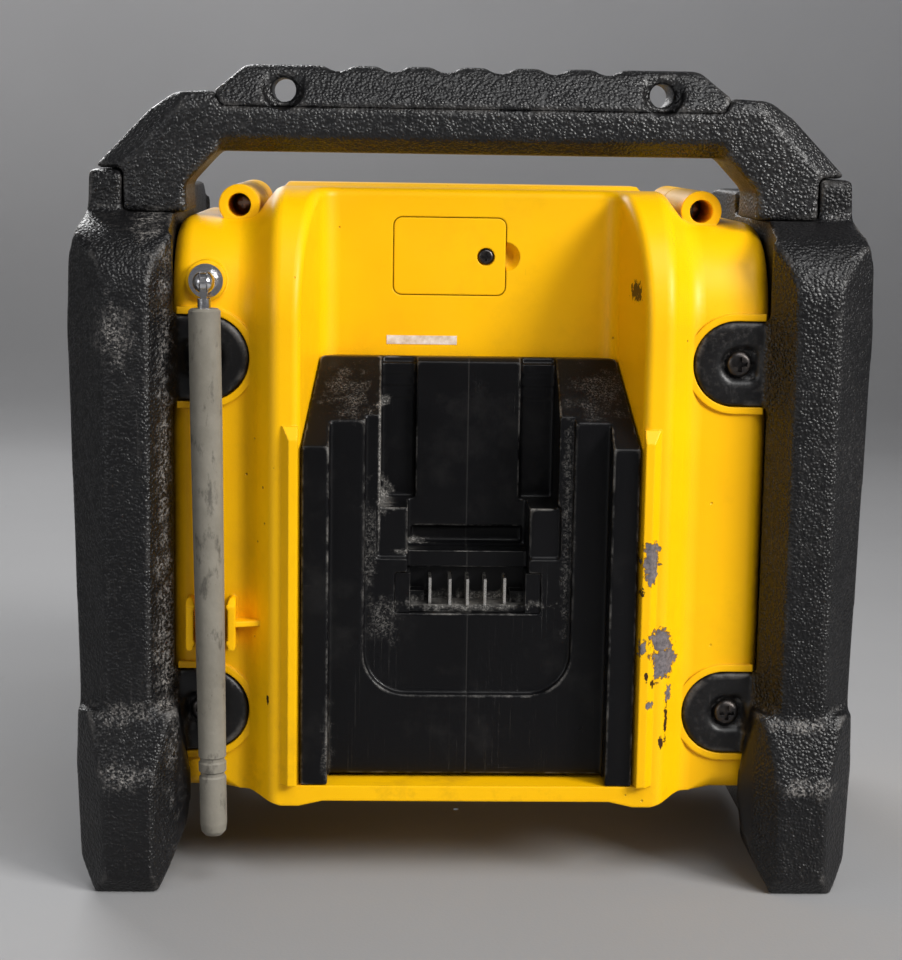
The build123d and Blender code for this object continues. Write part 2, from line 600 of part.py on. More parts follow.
# ---- fasteners ----------------------------------------------------------------------------------
def screw_y(x, z, seat, shank_end, head_r, shank_r, head_h):
    """A cross-head screw along Y whose head sits on the plane y = seat."""
    out = 1 if shank_end < seat else -1
    y0, y1 = sorted((seat, seat + out * head_h))
    head = rod_y(x, z, head_r, y0, y1)
    rim = head.edges().filter_by(GeomType.CIRCLE).filter_by(lambda e: abs(e.center().Y - (seat + out * head_h)) < 0.01)
    head = fillet(rim, head_h * 0.8)
    y0, y1 = sorted((seat, shank_end))
    shape = head + rod_y(x, z, shank_r, y0, y1)
    y0, y1 = sorted((seat + out * head_h * 0.35, seat + out * (head_h + 1)))
    cross = block(x - head_r * 0.56, x + head_r * 0.56, y0, y1, z - head_r * 0.15, z + head_r * 0.15)
    cross += block(x - head_r * 0.15, x + head_r * 0.15, y0, y1, z - head_r * 0.56, z + head_r * 0.56)
    return shape - cross


def cage_screws():
    """Eight screws that hold the cages to the shells."""
    shapes = []
    for sign in (-1, 1):
        for z in TAB_Z:
            for direction in (-1, 1):
                seat = direction * (LOBE_Y - 1.0)
                end = direction * (LOBE_Y - 14)
                shapes.append(screw_y(sign * CAGE_SCREW_X, z, seat, end, SCREW_HEAD_R, 2.0, 2.6))
    return Compound(children=[s.solid() for s in shapes])


def handle_screws():
    """Four screws that come up through the cages into the handle."""
    shapes = []
    for x in (-105.0, 105.0):
        for y in (30.0, 48.0):
            head = Pos(x, y, 0) * along_z(Circle(4.2), 198.8, 202)
            head -= Pos(x, y, 0) * along_z(RegularPolygon(1.8, 6), 198, 200.6)
            shank = Pos(x, y, 0) * along_z(Circle(1.9), 202, 238)
            shapes.append(head + shank)
    return Compound(children=[s.solid() for s in shapes])


def housing_screws():
    """Four long screws that close the shells."""
    shapes = []
    for x, z, seat, end in ((BOSS_X, BOSS_Z, 20.0, -30.0), (LOW_BOSS_X, LOW_BOSS_Z, LOW_SEAT_Y, -20.0)):
        for sign in (-1, 1):
            shapes.append(screw_y(sign * x, z, seat, end, 3.6, 1.8, 3.0))
    return Compound(children=[s.solid() for s in shapes])


def mount_screws():
    """Four screws from inside the rear shell into the battery mount."""
    shapes = [screw_y(x, z, BAY_BACK - WALL, 54.0, 3.4, 1.7, 2.4) for x, z in MOUNT_SCREWS]
    return Compound(children=[s.solid() for s in shapes])


def board_screws():
    """Four screws that hold the main board on its posts."""
    shapes = [screw_y(x, z, -1.6, 8.0, 2.8, 1.4, 2.0) for x, z in BOARD_POSTS]
    return Compound(children=[s.solid() for s in shapes])


# ---- battery mount ------------------------------------------------------------------------------
def battery_mount():
    """The slide-on battery receiver."""
    side = outline(
        [
            (MOUNT_BACK, MOUNT_PLATE_LOW),
            (MOUNT_REAR, MOUNT_PLATE_LOW),
            (MOUNT_REAR, MOUNT_SLOPE_Z),
            (MOUNT_SLOPE_TOP_Y, MOUNT_HIGH),
            (MOUNT_BACK, MOUNT_HIGH),
        ]
    )
    shape = along_x(side, -60, 60)
    spread = (MOUNT_X - 49.4) / (MOUNT_REAR - MOUNT_BACK)
    plan = outline(
        [
            (-49.4, MOUNT_BACK),
            (49.4, MOUNT_BACK),
            (MOUNT_X + spread, MOUNT_REAR + 1),
            (-MOUNT_X - spread, MOUNT_REAR + 1),
        ]
    )
    plan = fillet(plan.vertices().group_by(Axis.Y)[0], 7.5)
    plan_prism = along_z(plan, 20, 190)
    shape = shape & plan_prism
    lower = both(block(BLOCK_IN, 60, 62, MOUNT_REAR, MOUNT_LOW, MOUNT_PLATE_LOW + 1)) & plan_prism
    shape += lower
    shape -= block(-BLOCK_IN, BLOCK_IN, MOUNT_FLOOR, 100, 20, 170)
    plate = rounded_rect(0, (PLATE_LOW + 200) / 2, 2 * PLATE_X, 200 - PLATE_LOW, PLATE_R)
    shape -= along_y(plate, MOUNT_PLATE, 100) & block(-60, 60, 60, 110, 30, 159)
    shape -= block(-POCKET_X, POCKET_X, POCKET_FLOOR, 100, POCKET_LOW, 190)
    shape -= block(-THROAT_X, THROAT_X, POCKET_FLOOR, 100, THROAT_LOW, 190)
    shape -= both(block(PANEL_X, POCKET_X, CHANNEL_FLOOR, 100, POCKET_LOW, 190))
    for z in (162.0, 166.0, 170.0):
        shape += both(block(PANEL_X, POCKET_X, MOUNT_BACK + 1, CHANNEL_FLOOR + 0.5 + (z - 162) / 8, z, z + 3.4))
    # the two ledges beside the throat, and the deeper slot at its foot
    shape -= both(block(THROAT_X - 1, POCKET_X + 1.2, MOUNT_PLATE - 1.4, 100, LEDGE_LOW, POCKET_LOW + 1))
    shape -= block(-PANEL_X - 1.4, PANEL_X + 1.4, CHANNEL_FLOOR, 100, THROAT_LOW + 0.8, SLOT_HIGH)
    # opening for the terminals
    shape -= block(-TERMINAL_X, TERMINAL_X, MOUNT_BACK - 1, 100, TERMINAL_LOW, TERMINAL_HIGH)
    shape -= block(-THROAT_X, THROAT_X, 60, 100, TERMINAL_HIGH - 1, THROAT_LOW + 1)
    # hollow back
    pockets = block(33, 47, MOUNT_BACK - 1, 68.5, 41, 145)
    pockets = pockets - block(36, 50, 40, 69, MOUNT_SCREWS[0][1] - 5, MOUNT_SCREWS[0][1] + 5)
    pockets = pockets - block(36, 50, 40, 69, MOUNT_SCREWS[2][1] - 5, MOUNT_SCREWS[2][1] + 5)
    shape -= both(pockets)
    shape -= block(-30, 30, MOUNT_BACK - 1, 66.5, 41, 86)
    for x, z in MOUNT_SCREWS:
        shape -= rod_y(x, z, 1.7, MOUNT_BACK - 1, 58)
    seam = block(-0.25, 0.25, MOUNT_PLATE - 0.3, 100, 20, 90) + block(-0.25, 0.25, POCKET_FLOOR - 0.4, 100, 112, 190)
    return shape - seam


def terminal_block():
    """The block that carries the contact blades."""
    x, z0, z1 = TERMINAL_X - 0.2, TERMINAL_LOW + 0.2, TERMINAL_HIGH - 0.2
    shape = block(-x, x, 44.0, 57.0, z0, z1)
    shape += both(block(19.4, x, 57.0, 69.6, z0, z1))
    shape += block(-x, x, 57.0, 68.0, z0, z0 + 2.2)
    shape += both(block(14.6, 19.4, 57.0, 63.0, z0, z0 + 6))
    for bx in BLADE_X:
        shape -= block(bx - BLADE_T / 2, bx + BLADE_T / 2, 40, 70, BLADE_LOW + 1.0, BLADE_HIGH)
    return shape


def terminal_blades():
    """Five contact blades."""
    shapes = []
    for bx in BLADE_X:
        short = 2.0 if abs(bx) > 10 else 0.0
        blade = block(bx - BLADE_T / 2, bx + BLADE_T / 2, 42.0, 68.5 - short, BLADE_LOW + 1.0, BLADE_HIGH)
        shapes.append(blade)
    return Compound(children=[s.solid() for s in shapes])


def battery_leads():
    """Two leads from the outer blades to the main board."""
    shapes = [rod_y(x, 98.0, 1.6, 0.0, 42.0) for x in (BLADE_X[0], BLADE_X[-1])]
    return Compound(children=[s.solid() for s in shapes])


# ---- coin-cell compartment ----------------------------------------------------------------------
def coin_cell_cover():
    """The small cover, held by one screw."""
    shape = along_y(rounded_rect(COVER_X, COVER_Z, COVER_W, COVER_H, COVER_R), BAY_BACK - COVER_T, BAY_BACK)
    shape -= rod_y(COVER_SCREW_X, COVER_Z, 3.0, BAY_BACK - 1.2, BAY_BACK + 1)
    return shape - rod_y(COVER_SCREW_X, COVER_Z, 1.3, BAY_BACK - 4, BAY_BACK + 1)


def coin_cell_screw():
    """The screw of the cover."""
    return screw_y(COVER_SCREW_X, COVER_Z, BAY_BACK - 1.2, BAY_BACK - 9, 2.7, 1.3, 1.3)


def coin_cell():
    """The clock's coin cell."""
    return rod_y(CELL_X, COVER_Z, CELL_R, BAY_BACK - 8.6, BAY_BACK - 8.6 + CELL_T)


def coin_cell_contact():
    """The two springs that touch the cell."""
    plate = block(CELL_X - 4, CELL_X + 4, BAY_BACK - 10.4, BAY_BACK - 10.0, COVER_Z - 8, COVER_Z + 8)
    bump = rod_y(CELL_X, COVER_Z, 2.5, BAY_BACK - 10.0, BAY_BACK - 8.6)
    return plate + bump


# ---- antenna ------------------------------------------------------------------------------------
def antenna_place(shape):
    """Turn a shape drawn along -Z from the pivot into the stowed position."""
    from_pivot = ANT_Z - ANT_TIP_Z
    lean = (ANT_X - ANT_TIP_X) / from_pivot * 180 / pi
    return Pos(ANT_X, ANT_BALL_Y, ANT_Z) * Rot(0, lean, 0) * shape


def antenna_base():
    """Round flange and slotted ball that carry the antenna."""
    shape = rod_y(ANT_X, ANT_Z, 5.6, LOBE_Y + 0.6, LOBE_Y + 2.0)
    shape += rod_y(ANT_X, ANT_Z, 2.9, 56.0, LOBE_Y + 2.0)
    shape += rod_y(ANT_X, ANT_Z, 2.4, LOBE_Y + 1.0, ANT_BALL_Y - 1.5)
    shape += Pos(ANT_X, ANT_BALL_Y, ANT_Z) * Sphere(3.6)
    slot = block(ANT_X - 1.35, ANT_X + 1.35, ANT_BALL_Y - 3.5, ANT_BALL_Y + 6, ANT_Z - 8, ANT_Z + 8)
    shape -= slot
    return shape - rod_x(ANT_BALL_Y, ANT_Z, 0.9, ANT_X - 5, ANT_X + 5)


def antenna_nut():
    """The nut inside the shell."""
    nut = along_y(Pos(ANT_X, ANT_Z) * RegularPolygon(5.0, 6), 57.4, 60.0)
    return nut - rod_y(ANT_X, ANT_Z, 2.9, 50, 65)


def antenna_pin():
    """The cross pin of the knuckle."""
    return rod_x(ANT_BALL_Y, ANT_Z, 0.9, ANT_X - 3.3, ANT_X + 3.3)


def antenna_knuckle():
    """The tongue and shank that turn with the antenna."""
    tongue = rod_x(0, 0, 3.0, -1.0, 1.0)
    tongue += block(-1.0, 1.0, -1.9, 1.9, -6.0, 0)
    shank = along_z(Circle(2.2), -10.0, -5.2)
    shank = shank + along_z(Circle(1.6), -30.0, -10.0)
    shape = antenna_place(tongue + shank)
    return shape - rod_x(ANT_BALL_Y, ANT_Z, 0.95, ANT_X - 5, ANT_X + 5)


def antenna_core():
    """The metal whip inside the sleeve."""
    return antenna_place(along_z(Circle(1.0), -174.0, -30.0))


def antenna_sleeve():
    """The rubber sleeve."""
    length = ANT_Z - ANT_TIP_Z
    top = ANT_Z - WHIP_TOP_Z
    profile = [
        (0, -length),
        (WHIP_R_TIP - 1.6, -length),
        (WHIP_R_TIP - 0.4, -length + 1.4),
        (WHIP_R_TIP, -length + 4),
        (WHIP_R_TIP, -length + 20),
        (WHIP_R_TIP - 0.5, -length + 20.6),
        (WHIP_R_TIP - 0.5, -length + 21.6),
        (WHIP_R_TIP + 0.1, -length + 22.2),
        (WHIP_R_TIP + 0.1, -length + 25),
        (WHIP_R_TIP - 0.4, -length + 25.6),
        (WHIP_R_TIP - 0.4, -length + 26.6),
        (WHIP_R_TIP + 0.1, -length + 27.2),
        (WHIP_R_TOP, -top - 40),
        (WHIP_R_TOP, -top - 0.8),
        (WHIP_R_TOP - 0.8, -top),
        (0, -top),
    ]
    sleeve = revolve(Plane.XZ * outline(profile), axis=Axis.Z)
    sleeve -= along_z(Circle(2.2), -10.0, 0)
    sleeve -= along_z(Circle(1.6), -30.0, -5)
    sleeve -= along_z(Circle(1.0), -174.0, -20)
    return antenna_place(sleeve)


# ---- control panel ------------------------------------------------------------------------------
def button_x(index):
    """Centre of one button."""
    return (index - (BUTTON_COUNT - 1) / 2) * BUTTON_PITCH


def control_panel():
    """The black fascia with its openings and posts."""
    middle, height = (PANEL_LOW + PANEL_HIGH) / 2, PANEL_HIGH - PANEL_LOW
    shape = along_y(rounded_rect(0, middle, 2 * PANEL_HALF, height, 8), PANEL_FRONT, FACE + 2.0)
    lcd_z, lcd_h = (LCD_LOW + LCD_HIGH) / 2, LCD_HIGH - LCD_LOW
    shape -= along_y(rounded_rect(0, lcd_z, 2 * LCD_HALF, lcd_h, 4), PANEL_FRONT - 1, PANEL_FRONT + 2)
    shape -= along_y(rounded_rect(0, lcd_z, 2 * LCD_HALF - 6, lcd_h - 6, 2), PANEL_FRONT - 1, FACE + 5)
    for i in range(BUTTON_COUNT):
        hole = rounded_rect(button_x(i), BUTTON_Z, BUTTON_W + 0.7, BUTTON_H + 0.7, 2.4)
        shape -= along_y(hole, PANEL_FRONT - 1, FACE + 5)
    for x, z in DISPLAY_POSTS:
        shape += rod_y(x, z, 2.4, FACE + 1.5, DISPLAY_BOARD_Y)
    for sign in (-1, 1):
        shape -= rod_y(sign * KNOB_X, KNOB_Z, 3.6, PANEL_FRONT - 1, FACE + 5)
    return shape


def lcd_window():
    """Clear window over the display."""
    lcd_z, lcd_h = (LCD_LOW + LCD_HIGH) / 2, LCD_HIGH - LCD_LOW
    window = rounded_rect(0, lcd_z, 2 * LCD_HALF - 0.4, lcd_h - 0.4, 3.8)
    return along_y(window, PANEL_FRONT + 0.2, PANEL_FRONT + 2)


def lcd_module():
    """The display behind the window."""
    lcd_z = (LCD_LOW + LCD_HIGH) / 2
    return block(-LCD_HALF + 4.4, LCD_HALF - 4.4, FACE + 0.2, DISPLAY_BOARD_Y, lcd_z - 14.0, lcd_z + 14.0)


def display_board():
    """The circuit board behind the fascia."""
    return block(-65, 65, DISPLAY_BOARD_Y, DISPLAY_BOARD_Y + 1.6, 142.5, 200.5)


def tact_switches():
    """One push switch behind each button."""
    shapes = []
    for i in range(BUTTON_COUNT):
        body = block(button_x(i) - 3, button_x(i) + 3, DISPLAY_BOARD_Y - 2.6, DISPLAY_BOARD_Y, BUTTON_Z - 3, BUTTON_Z + 3)
        body += rod_y(button_x(i), BUTTON_Z, 1.6, DISPLAY_BOARD_Y - 3.4, DISPLAY_BOARD_Y - 2.6)
        shapes.append(body)
    return Compound(children=[s.solid() for s in shapes])


def button(index):
    """One push button: cap, flange and stem."""
    x = button_x(index)
    back = FACE + 2.0
    cap = along_y(rounded_rect(x, BUTTON_Z, BUTTON_W, BUTTON_H, 2.0), PANEL_FRONT - 2.2, back + 1.0)
    rim = cap.faces().sort_by(Axis.Y)[0].edges()
    cap = fillet(rim, 1.0)
    cap += along_y(rounded_rect(x, BUTTON_Z, BUTTON_W + 2.4, BUTTON_H + 2.4, 2.6), back + 0.35, back + 1.6)
    return cap + rod_y(x, BUTTON_Z, 1.6, back + 1.0, DISPLAY_BOARD_Y - 3.4 - BUTTON_TRAVEL - 0.35)


def encoders():
    """Two rotary encoders."""
    shapes = []
    for sign in (-1, 1):
        x = sign * KNOB_X
        body = block(x - 6.5, x + 6.5, FACE + 2.0, DISPLAY_BOARD_Y, KNOB_Z - 6.5, KNOB_Z + 6.5)
        body += rod_y(x, KNOB_Z, 3.6, PANEL_FRONT, FACE + 3)
        body -= rod_y(x, KNOB_Z, SHAFT_R + 0.05, PANEL_FRONT - 1, DISPLAY_BOARD_Y - 1)
        shapes.append(body)
    return Compound(children=[s.solid() for s in shapes])


def encoder_shaft(sign):
    """The spindle of one encoder."""
    return rod_y(sign * KNOB_X, KNOB_Z, SHAFT_R, KNOB_FRONT + 3, DISPLAY_BOARD_Y - 1.4)


def knob(sign):
    """A ribbed rotary knob."""
    x = sign * KNOB_X
    shape = rod_y(x, KNOB_Z, KNOB_R, KNOB_FRONT, PANEL_FRONT - 0.6)
    front = shape.edges().filter_by(GeomType.CIRCLE).sort_by(Axis.Y)[0]
    shape = fillet(front, 1.6)
    for i in range(20):
        angle = 2 * pi * (i + 0.5) / 20
        shape -= rod_y(x + (KNOB_R + 0.7) * cos(angle), KNOB_Z + (KNOB_R + 0.7) * sin(angle), 1.5, -100, -78)
    shape -= rod_y(x, KNOB_Z + KNOB_R * 0.62, 1.3, KNOB_FRONT - 1, KNOB_FRONT + 0.6)
    shape -= rod_y(x, KNOB_Z, 11.5, PANEL_FRONT - 8, PANEL_FRONT) - rod_y(x, KNOB_Z, 5.4, PANEL_FRONT - 8, PANEL_FRONT)
    return shape - rod_y(x, KNOB_Z, SHAFT_R, KNOB_FRONT + 3, -60)


# ---- speakers -----------------------------------------------------------------------------------
def ring_y(x, z, profile):
    """Revolve a closed (radius, y) profile about the Y direction through (x, z)."""
    return Pos(x, 0, z) * revolve(outline(profile), axis=Axis.Y)


def speaker_basket(sign):
    """The pressed frame of one speaker."""
    profile = [
        (SPEAKER_R - 3.0, -69.0),
        (SPEAKER_R + 2.3, -69.0),
        (SPEAKER_R + 2.3, -66.6),
        (SPEAKER_R - 0.6, -66.6),
        (18.0, -50.0),
        (8.0, -50.0),
        (8.0, -51.2),
        (17.0, -51.2),
        (SPEAKER_R - 3.0, -66.0),
    ]
    shape = ring_y(sign * SPEAKER_X, SPEAKER_Z, profile)
    for i in range(4):
        angle = pi / 2 * i
        x = sign * SPEAKER_X + 22.5 * cos(angle)
        z = SPEAKER_Z + 22.5 * sin(angle)
        shape -= rod_y(x, z, 4.0, -66, -45)
    return shape


def speaker_cone(sign):
    """Cone, surround and dust cap of one speaker."""
    profile = [
        (0, -59.0),
        (6.0, -57.2),
        (8.6, -55.0),
        (SPEAKER_R - 7.0, -66.6),
        (SPEAKER_R - 5.0, -68.2),
        (SPEAKER_R - 3.0, -66.8),
        (SPEAKER_R - 3.0, -67.6),
        (SPEAKER_R - 5.0, -69.0),
        (SPEAKER_R - 7.4, -67.4),
        (8.6, -56.2),
        (6.0, -58.4),
        (0, -60.2),
    ]
    return ring_y(sign * SPEAKER_X, SPEAKER_Z, profile)


def speaker_magnet(sign):
    """Magnet and back plate of one speaker."""
    return rod_y(sign * SPEAKER_X, SPEAKER_Z, 19.0, -50.0, -39.0) + rod_y(sign * SPEAKER_X, SPEAKER_Z, 16.0, -39.0, -35.0)


def speaker_grille(sign):
    """The slotted grille in front of one speaker."""
    x = sign * SPEAKER_X
    rim = rod_y(x, SPEAKER_Z, SPEAKER_R + 2.2, FACE - 1.6, FACE + 1.2)
    rim = fillet(rim.edges().filter_by(GeomType.CIRCLE).sort_by(Axis.Y)[0], 1.0)
    slots = None
    for i in range(7):
        dz = (i - 3) * 7.0
        half = (25.5**2 - dz**2) ** 0.5
        slot = along_y(rounded_rect(x, SPEAKER_Z + dz, 2 * half, 3.6, 1.7), FACE - 5, FACE + 5)
        slots = slot if slots is None else slots + slot
    spine = block(x - 1.6, x + 1.6, -90, -60, SPEAKER_Z - 40, SPEAKER_Z + 40)
    return rim - (slots - spine)


# ---- port bay -----------------------------------------------------------------------------------
def port_door():
    """Hinged door over the sockets."""
    middle, height = (DOOR_LOW + 1 + DOOR_HIGH) / 2, DOOR_HIGH - DOOR_LOW - 1
    shape = along_y(rounded_rect(0, middle, 2 * DOOR_HALF, height, 3), FACE - 3.0, FACE - 0.5)
    shape += block(-9.8, 9.8, HINGE_Y + 0.6, FACE - 0.9, HINGE_Z, DOOR_LOW + 3)
    shape += rod_x(HINGE_Y, HINGE_Z, HINGE_R, -9.8, 9.8)
    shape += along_y(rounded_rect(0, DOOR_HIGH - 3.4, 14, 2.4, 1.1), FACE - 4.4, FACE - 2.8)
    return shape - rod_x(HINGE_Y, HINGE_Z, HINGE_PIN_R + 0.05, -12, 12)


def port_door_pin():
    """The pin of the door."""
    return rod_x(HINGE_Y, HINGE_Z, HINGE_PIN_R, -15.0, 15.0)


def usb_socket():
    """Charging socket."""
    back = FACE + 13.5
    shape = block(-7.2, 7.2, back - 6.0, back, 95.6, 103.0)
    return shape - block(-6.2, 6.2, back - 7.0, back - 1.0, 96.6, 102.0)


def aux_jack():
    """Audio input jack."""
    back = FACE + 13.5
    return rod_y(0, 86.0, 4.2, back - 5.0, back) - rod_y(0, 86.0, 1.8, back - 6.0, back - 0.8)


def dc_jack():
    """Power input jack with a centre pin."""
    back = FACE + 13.5
    shape = rod_y(0, 74.0, 5.0, back - 6.0, back) - rod_y(0, 74.0, 2.8, back - 7.0, back - 0.8)
    return shape + rod_y(0, 74.0, 1.0, back - 5.0, back - 0.8)


# ---- inside -------------------------------------------------------------------------------------
def main_board():
    """The main circuit board."""
    shape = block(-58, 58, -1.6, 0, 58, 158)
    for x, z in BOARD_POSTS:
        shape -= rod_y(x, z, 1.4, -5, 5)
    return shape


def board_parts():
    """Capacitors and chips on the main board."""
    shapes = [rod_y(x, 140.0, 6.0, -22.0, -1.6) for x in (-30.0, -14.0)]
    shapes += [block(x - 8, x + 8, -4.4, -1.6, z - 8, z + 8) for x, z in ((28.0, 135.0), (0.0, 96.0))]
    shapes.append(block(-45, -28, -12.0, -1.6, 66, 84))
    return Compound(children=[s.solid() for s in shapes])


def heat_sink():
    """Finned heat sink of the amplifier."""
    shape = block(26, 52, -4.6, -1.6, 66, 110)
    for i in range(6):
        x = 26 + i * 4.8
        shape += block(x, x + 2.0, -20.0, -4.0, 66, 110)
    return shape


def service_label():
    """A blank label on the back wall of the bay."""
    return block(4, 28, BAY_BACK, BAY_BACK + 0.12, 179.4, 182.4)


if __name__ == "__main__":
    os.makedirs("parts", exist_ok=True)
    cage = side_cage()
    left = mirrored(cage)
    parts = {
        "rear_shell": rear_shell(),
        "front_shell": front_shell(),
        "shell_gasket": shell_gasket(),
        "side_cage_right": cage,
        "side_cage_left": left,
        "handle_frame": handle_frame(),
        "handle_grip": handle_grip(),
        "cage_screws": cage_screws(),
        "handle_screws": handle_screws(),
        "housing_screws": housing_screws(),
        "battery_mount": battery_mount(),
        "mount_screws": mount_screws(),
        "terminal_block": terminal_block(),
        "terminal_blades": terminal_blades(),
        "battery_leads": battery_leads(),
        "coin_cell_cover": coin_cell_cover(),
        "coin_cell_screw": coin_cell_screw(),
        "coin_cell": coin_cell(),
        "coin_cell_contact": coin_cell_contact(),
        "antenna_base": antenna_base(),
        "antenna_nut": antenna_nut(),
        "antenna_pin": antenna_pin(),
        "antenna_knuckle": antenna_knuckle(),
        "antenna_core": antenna_core(),
        "antenna_sleeve": antenna_sleeve(),
        "control_panel": control_panel(),
        "lcd_window": lcd_window(),
        "lcd_module": lcd_module(),
        "display_board": display_board(),
        "tact_switches": tact_switches(),
        "encoders": encoders(),
        "volume_shaft": encoder_shaft(-1),
        "volume_knob": knob(-1),
        "tuning_shaft": encoder_shaft(1),
        "tuning_knob": knob(1),
        "speaker_basket_left": speaker_basket(-1),
        "speaker_basket_right": speaker_basket(1),
        "speaker_cone_left": speaker_cone(-1),
        "speaker_cone_right": speaker_cone(1),
        "speaker_magnet_left": speaker_magnet(-1),
        "speaker_magnet_right": speaker_magnet(1),
        "speaker_grille_left": speaker_grille(-1),
        "speaker_grille_right": speaker_grille(1),
        "port_door": port_door(),
        "port_door_pin": port_door_pin(),
        "usb_socket": usb_socket(),
        "aux_jack": aux_jack(),
        "dc_jack": dc_jack(),
        "main_board": main_board(),
        "board_screws": board_screws(),
        "board_parts": board_parts(),
        "heat_sink": heat_sink(),
        "service_label": service_label(),
    }
    for i in range(BUTTON_COUNT):
        parts[f"button_{i + 1}"] = button(i)
    for name, shape in parts.items():
        save(name, shape)
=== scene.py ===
# %% [markdown]
# # A worksite radio in its roll cage
#
# The radio stands with its back to us: a yellow body between two pebbled black cage sides, a carry
# handle, a rod antenna in its clip and the black receiver for a slide-on battery. All sizes come from
# the measured model, so the first step is to load that model and keep its overall box. What we add is
# the look of each piece: soft moulded edges, grain, dust, scratches and chips.

import json
import math

import bpy
import numpy as np
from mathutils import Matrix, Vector


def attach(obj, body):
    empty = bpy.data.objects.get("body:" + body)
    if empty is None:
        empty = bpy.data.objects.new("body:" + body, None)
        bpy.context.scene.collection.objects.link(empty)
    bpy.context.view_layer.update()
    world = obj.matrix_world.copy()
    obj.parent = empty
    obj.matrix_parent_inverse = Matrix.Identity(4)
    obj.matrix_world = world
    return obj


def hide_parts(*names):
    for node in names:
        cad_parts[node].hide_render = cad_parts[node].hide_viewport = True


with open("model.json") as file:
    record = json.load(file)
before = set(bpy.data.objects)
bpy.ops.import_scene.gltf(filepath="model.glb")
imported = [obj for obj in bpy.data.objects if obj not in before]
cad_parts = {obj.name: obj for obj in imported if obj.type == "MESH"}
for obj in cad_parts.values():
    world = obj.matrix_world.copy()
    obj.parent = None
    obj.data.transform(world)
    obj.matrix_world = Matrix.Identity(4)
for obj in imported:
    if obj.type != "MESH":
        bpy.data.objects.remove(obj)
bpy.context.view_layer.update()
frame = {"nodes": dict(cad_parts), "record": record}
nodes = frame["nodes"]

# %% [markdown]
# ## Camera
# We look at the back of the radio from a little above and a little to one side, from about two thirds
# of a metre. A short lens from close by would splay the upright cage sides. A longer lens keeps them
# upright, so that is what the camera gets. Its place is in metres and its turn in degrees.

# %% Camera
LENS_MM, SENSOR_MM = 77.6, 36.0
CAMERA_PLACE = (0.0302, 0.749, 0.24704)
CAMERA_TURN = (80.79406, -0.89392, 178.12196)

camera_data = bpy.data.cameras.new("camera")
camera_data.lens = LENS_MM
camera_data.sensor_width = SENSOR_MM
camera = bpy.data.objects.new("camera", camera_data)
camera.location = CAMERA_PLACE
camera.rotation_euler = [math.radians(angle) for angle in CAMERA_TURN]
bpy.context.scene.collection.objects.link(camera)
bpy.context.scene.camera = camera
print("camera at", tuple(camera.location))

# %% [markdown]
# ## Floor and wall
# A photographer's sweep is one sheet that is floor in front and wall behind, with a wide bend between,
# so no horizon line crosses the picture. A flat sheet with one bend works from one side only. Here the
# same profile is turned round the radio into a bowl, which works from every side.

# %% Floor sweep
FLOOR_RADIUS, BEND_RADIUS, WALL_TOP = 1.05, 0.6, 2.6
FLOOR_STEPS = 96


def lathe(name, profile, count):
    """A surface of revolution about Z from (radius, height) points, in count steps."""
    turns = [2 * math.pi * i / count for i in range(count)]
    points = [(r * math.cos(turn), r * math.sin(turn), z) for r, z in profile for turn in turns]
    faces = []
    for ring in range(len(profile) - 1):
        inner, outer = ring * count, (ring + 1) * count
        for i in range(count):
            j = (i + 1) % count
            faces.append((inner + i, inner + j, outer + j, outer + i))
    mesh = bpy.data.meshes.new(name)
    mesh.from_pydata(points, [], faces)
    obj = bpy.data.objects.new(name, mesh)
    bpy.context.scene.collection.objects.link(obj)
    for polygon in mesh.polygons:
        polygon.use_smooth = True
    return obj


sweep_profile = [(0.001, 0.0), (0.6, 0.0), (FLOOR_RADIUS, 0.0)]
for bend in (0.2, 0.4, 0.6, 0.8, 1.0, 1.2, 1.4, 1.57):
    sweep_profile.append((FLOOR_RADIUS + BEND_RADIUS * math.sin(bend), BEND_RADIUS - BEND_RADIUS * math.cos(bend)))
sweep_profile += [(FLOOR_RADIUS + BEND_RADIUS, 1.4), (FLOOR_RADIUS + BEND_RADIUS, WALL_TOP)]
floor = lathe("floor", sweep_profile, FLOOR_STEPS)
print("floor radius", FLOOR_RADIUS, "faces", len(floor.data.polygons))

# %% [markdown]
# ## Lights
# Black plastic shows little colour of its own: its shape is read from what it reflects. Small lamps
# would give hard sparks, so the light comes from large square panels. The strongest stands high on the
# right, a second hangs above, a weak one opens the left side, and one lights the far side for the
# other views. A pale sky fills what is left.

# %% Lights
LIGHT_TARGET = (0, 0, 0.12)
SKY_COLOUR, SKY_STRENGTH = (0.78, 0.80, 0.84, 1), 0.13


def panel(name, location, size, watts, tint, spread):
    """A square softbox aimed at the radio, its beam narrowed to the spread in degrees."""
    data = bpy.data.lights.new(name, "AREA")
    data.shape = "SQUARE"
    data.size = size
    data.energy = watts
    data.color = tint
    data.spread = math.radians(spread)
    obj = bpy.data.objects.new(name, data)
    obj.location = location
    obj.rotation_euler = (Vector(LIGHT_TARGET) - Vector(location)).to_track_quat("-Z", "Y").to_euler()
    bpy.context.scene.collection.objects.link(obj)


panel("key_softbox", (-1.15, 0.95, 0.90), 0.55, 6.1, (1.0, 0.985, 0.96), 80)
panel("top_softbox", (-0.35, 0.75, 1.30), 0.7, 3.5, (1, 1, 1), 120)
panel("left_softbox", (1.05, 0.95, 0.45), 0.6, 0.9, (0.96, 0.98, 1.0), 95)
panel("front_softbox", (0.55, -1.20, 0.95), 0.7, 4.8, (1, 1, 1), 100)
world = bpy.data.worlds.new("studio")
bpy.context.scene.world = world
world.use_nodes = True
world.node_tree.nodes["Background"].inputs["Color"].default_value = SKY_COLOUR
world.node_tree.nodes["Background"].inputs["Strength"].default_value = SKY_STRENGTH
bpy.context.scene.view_settings.view_transform = "Standard"

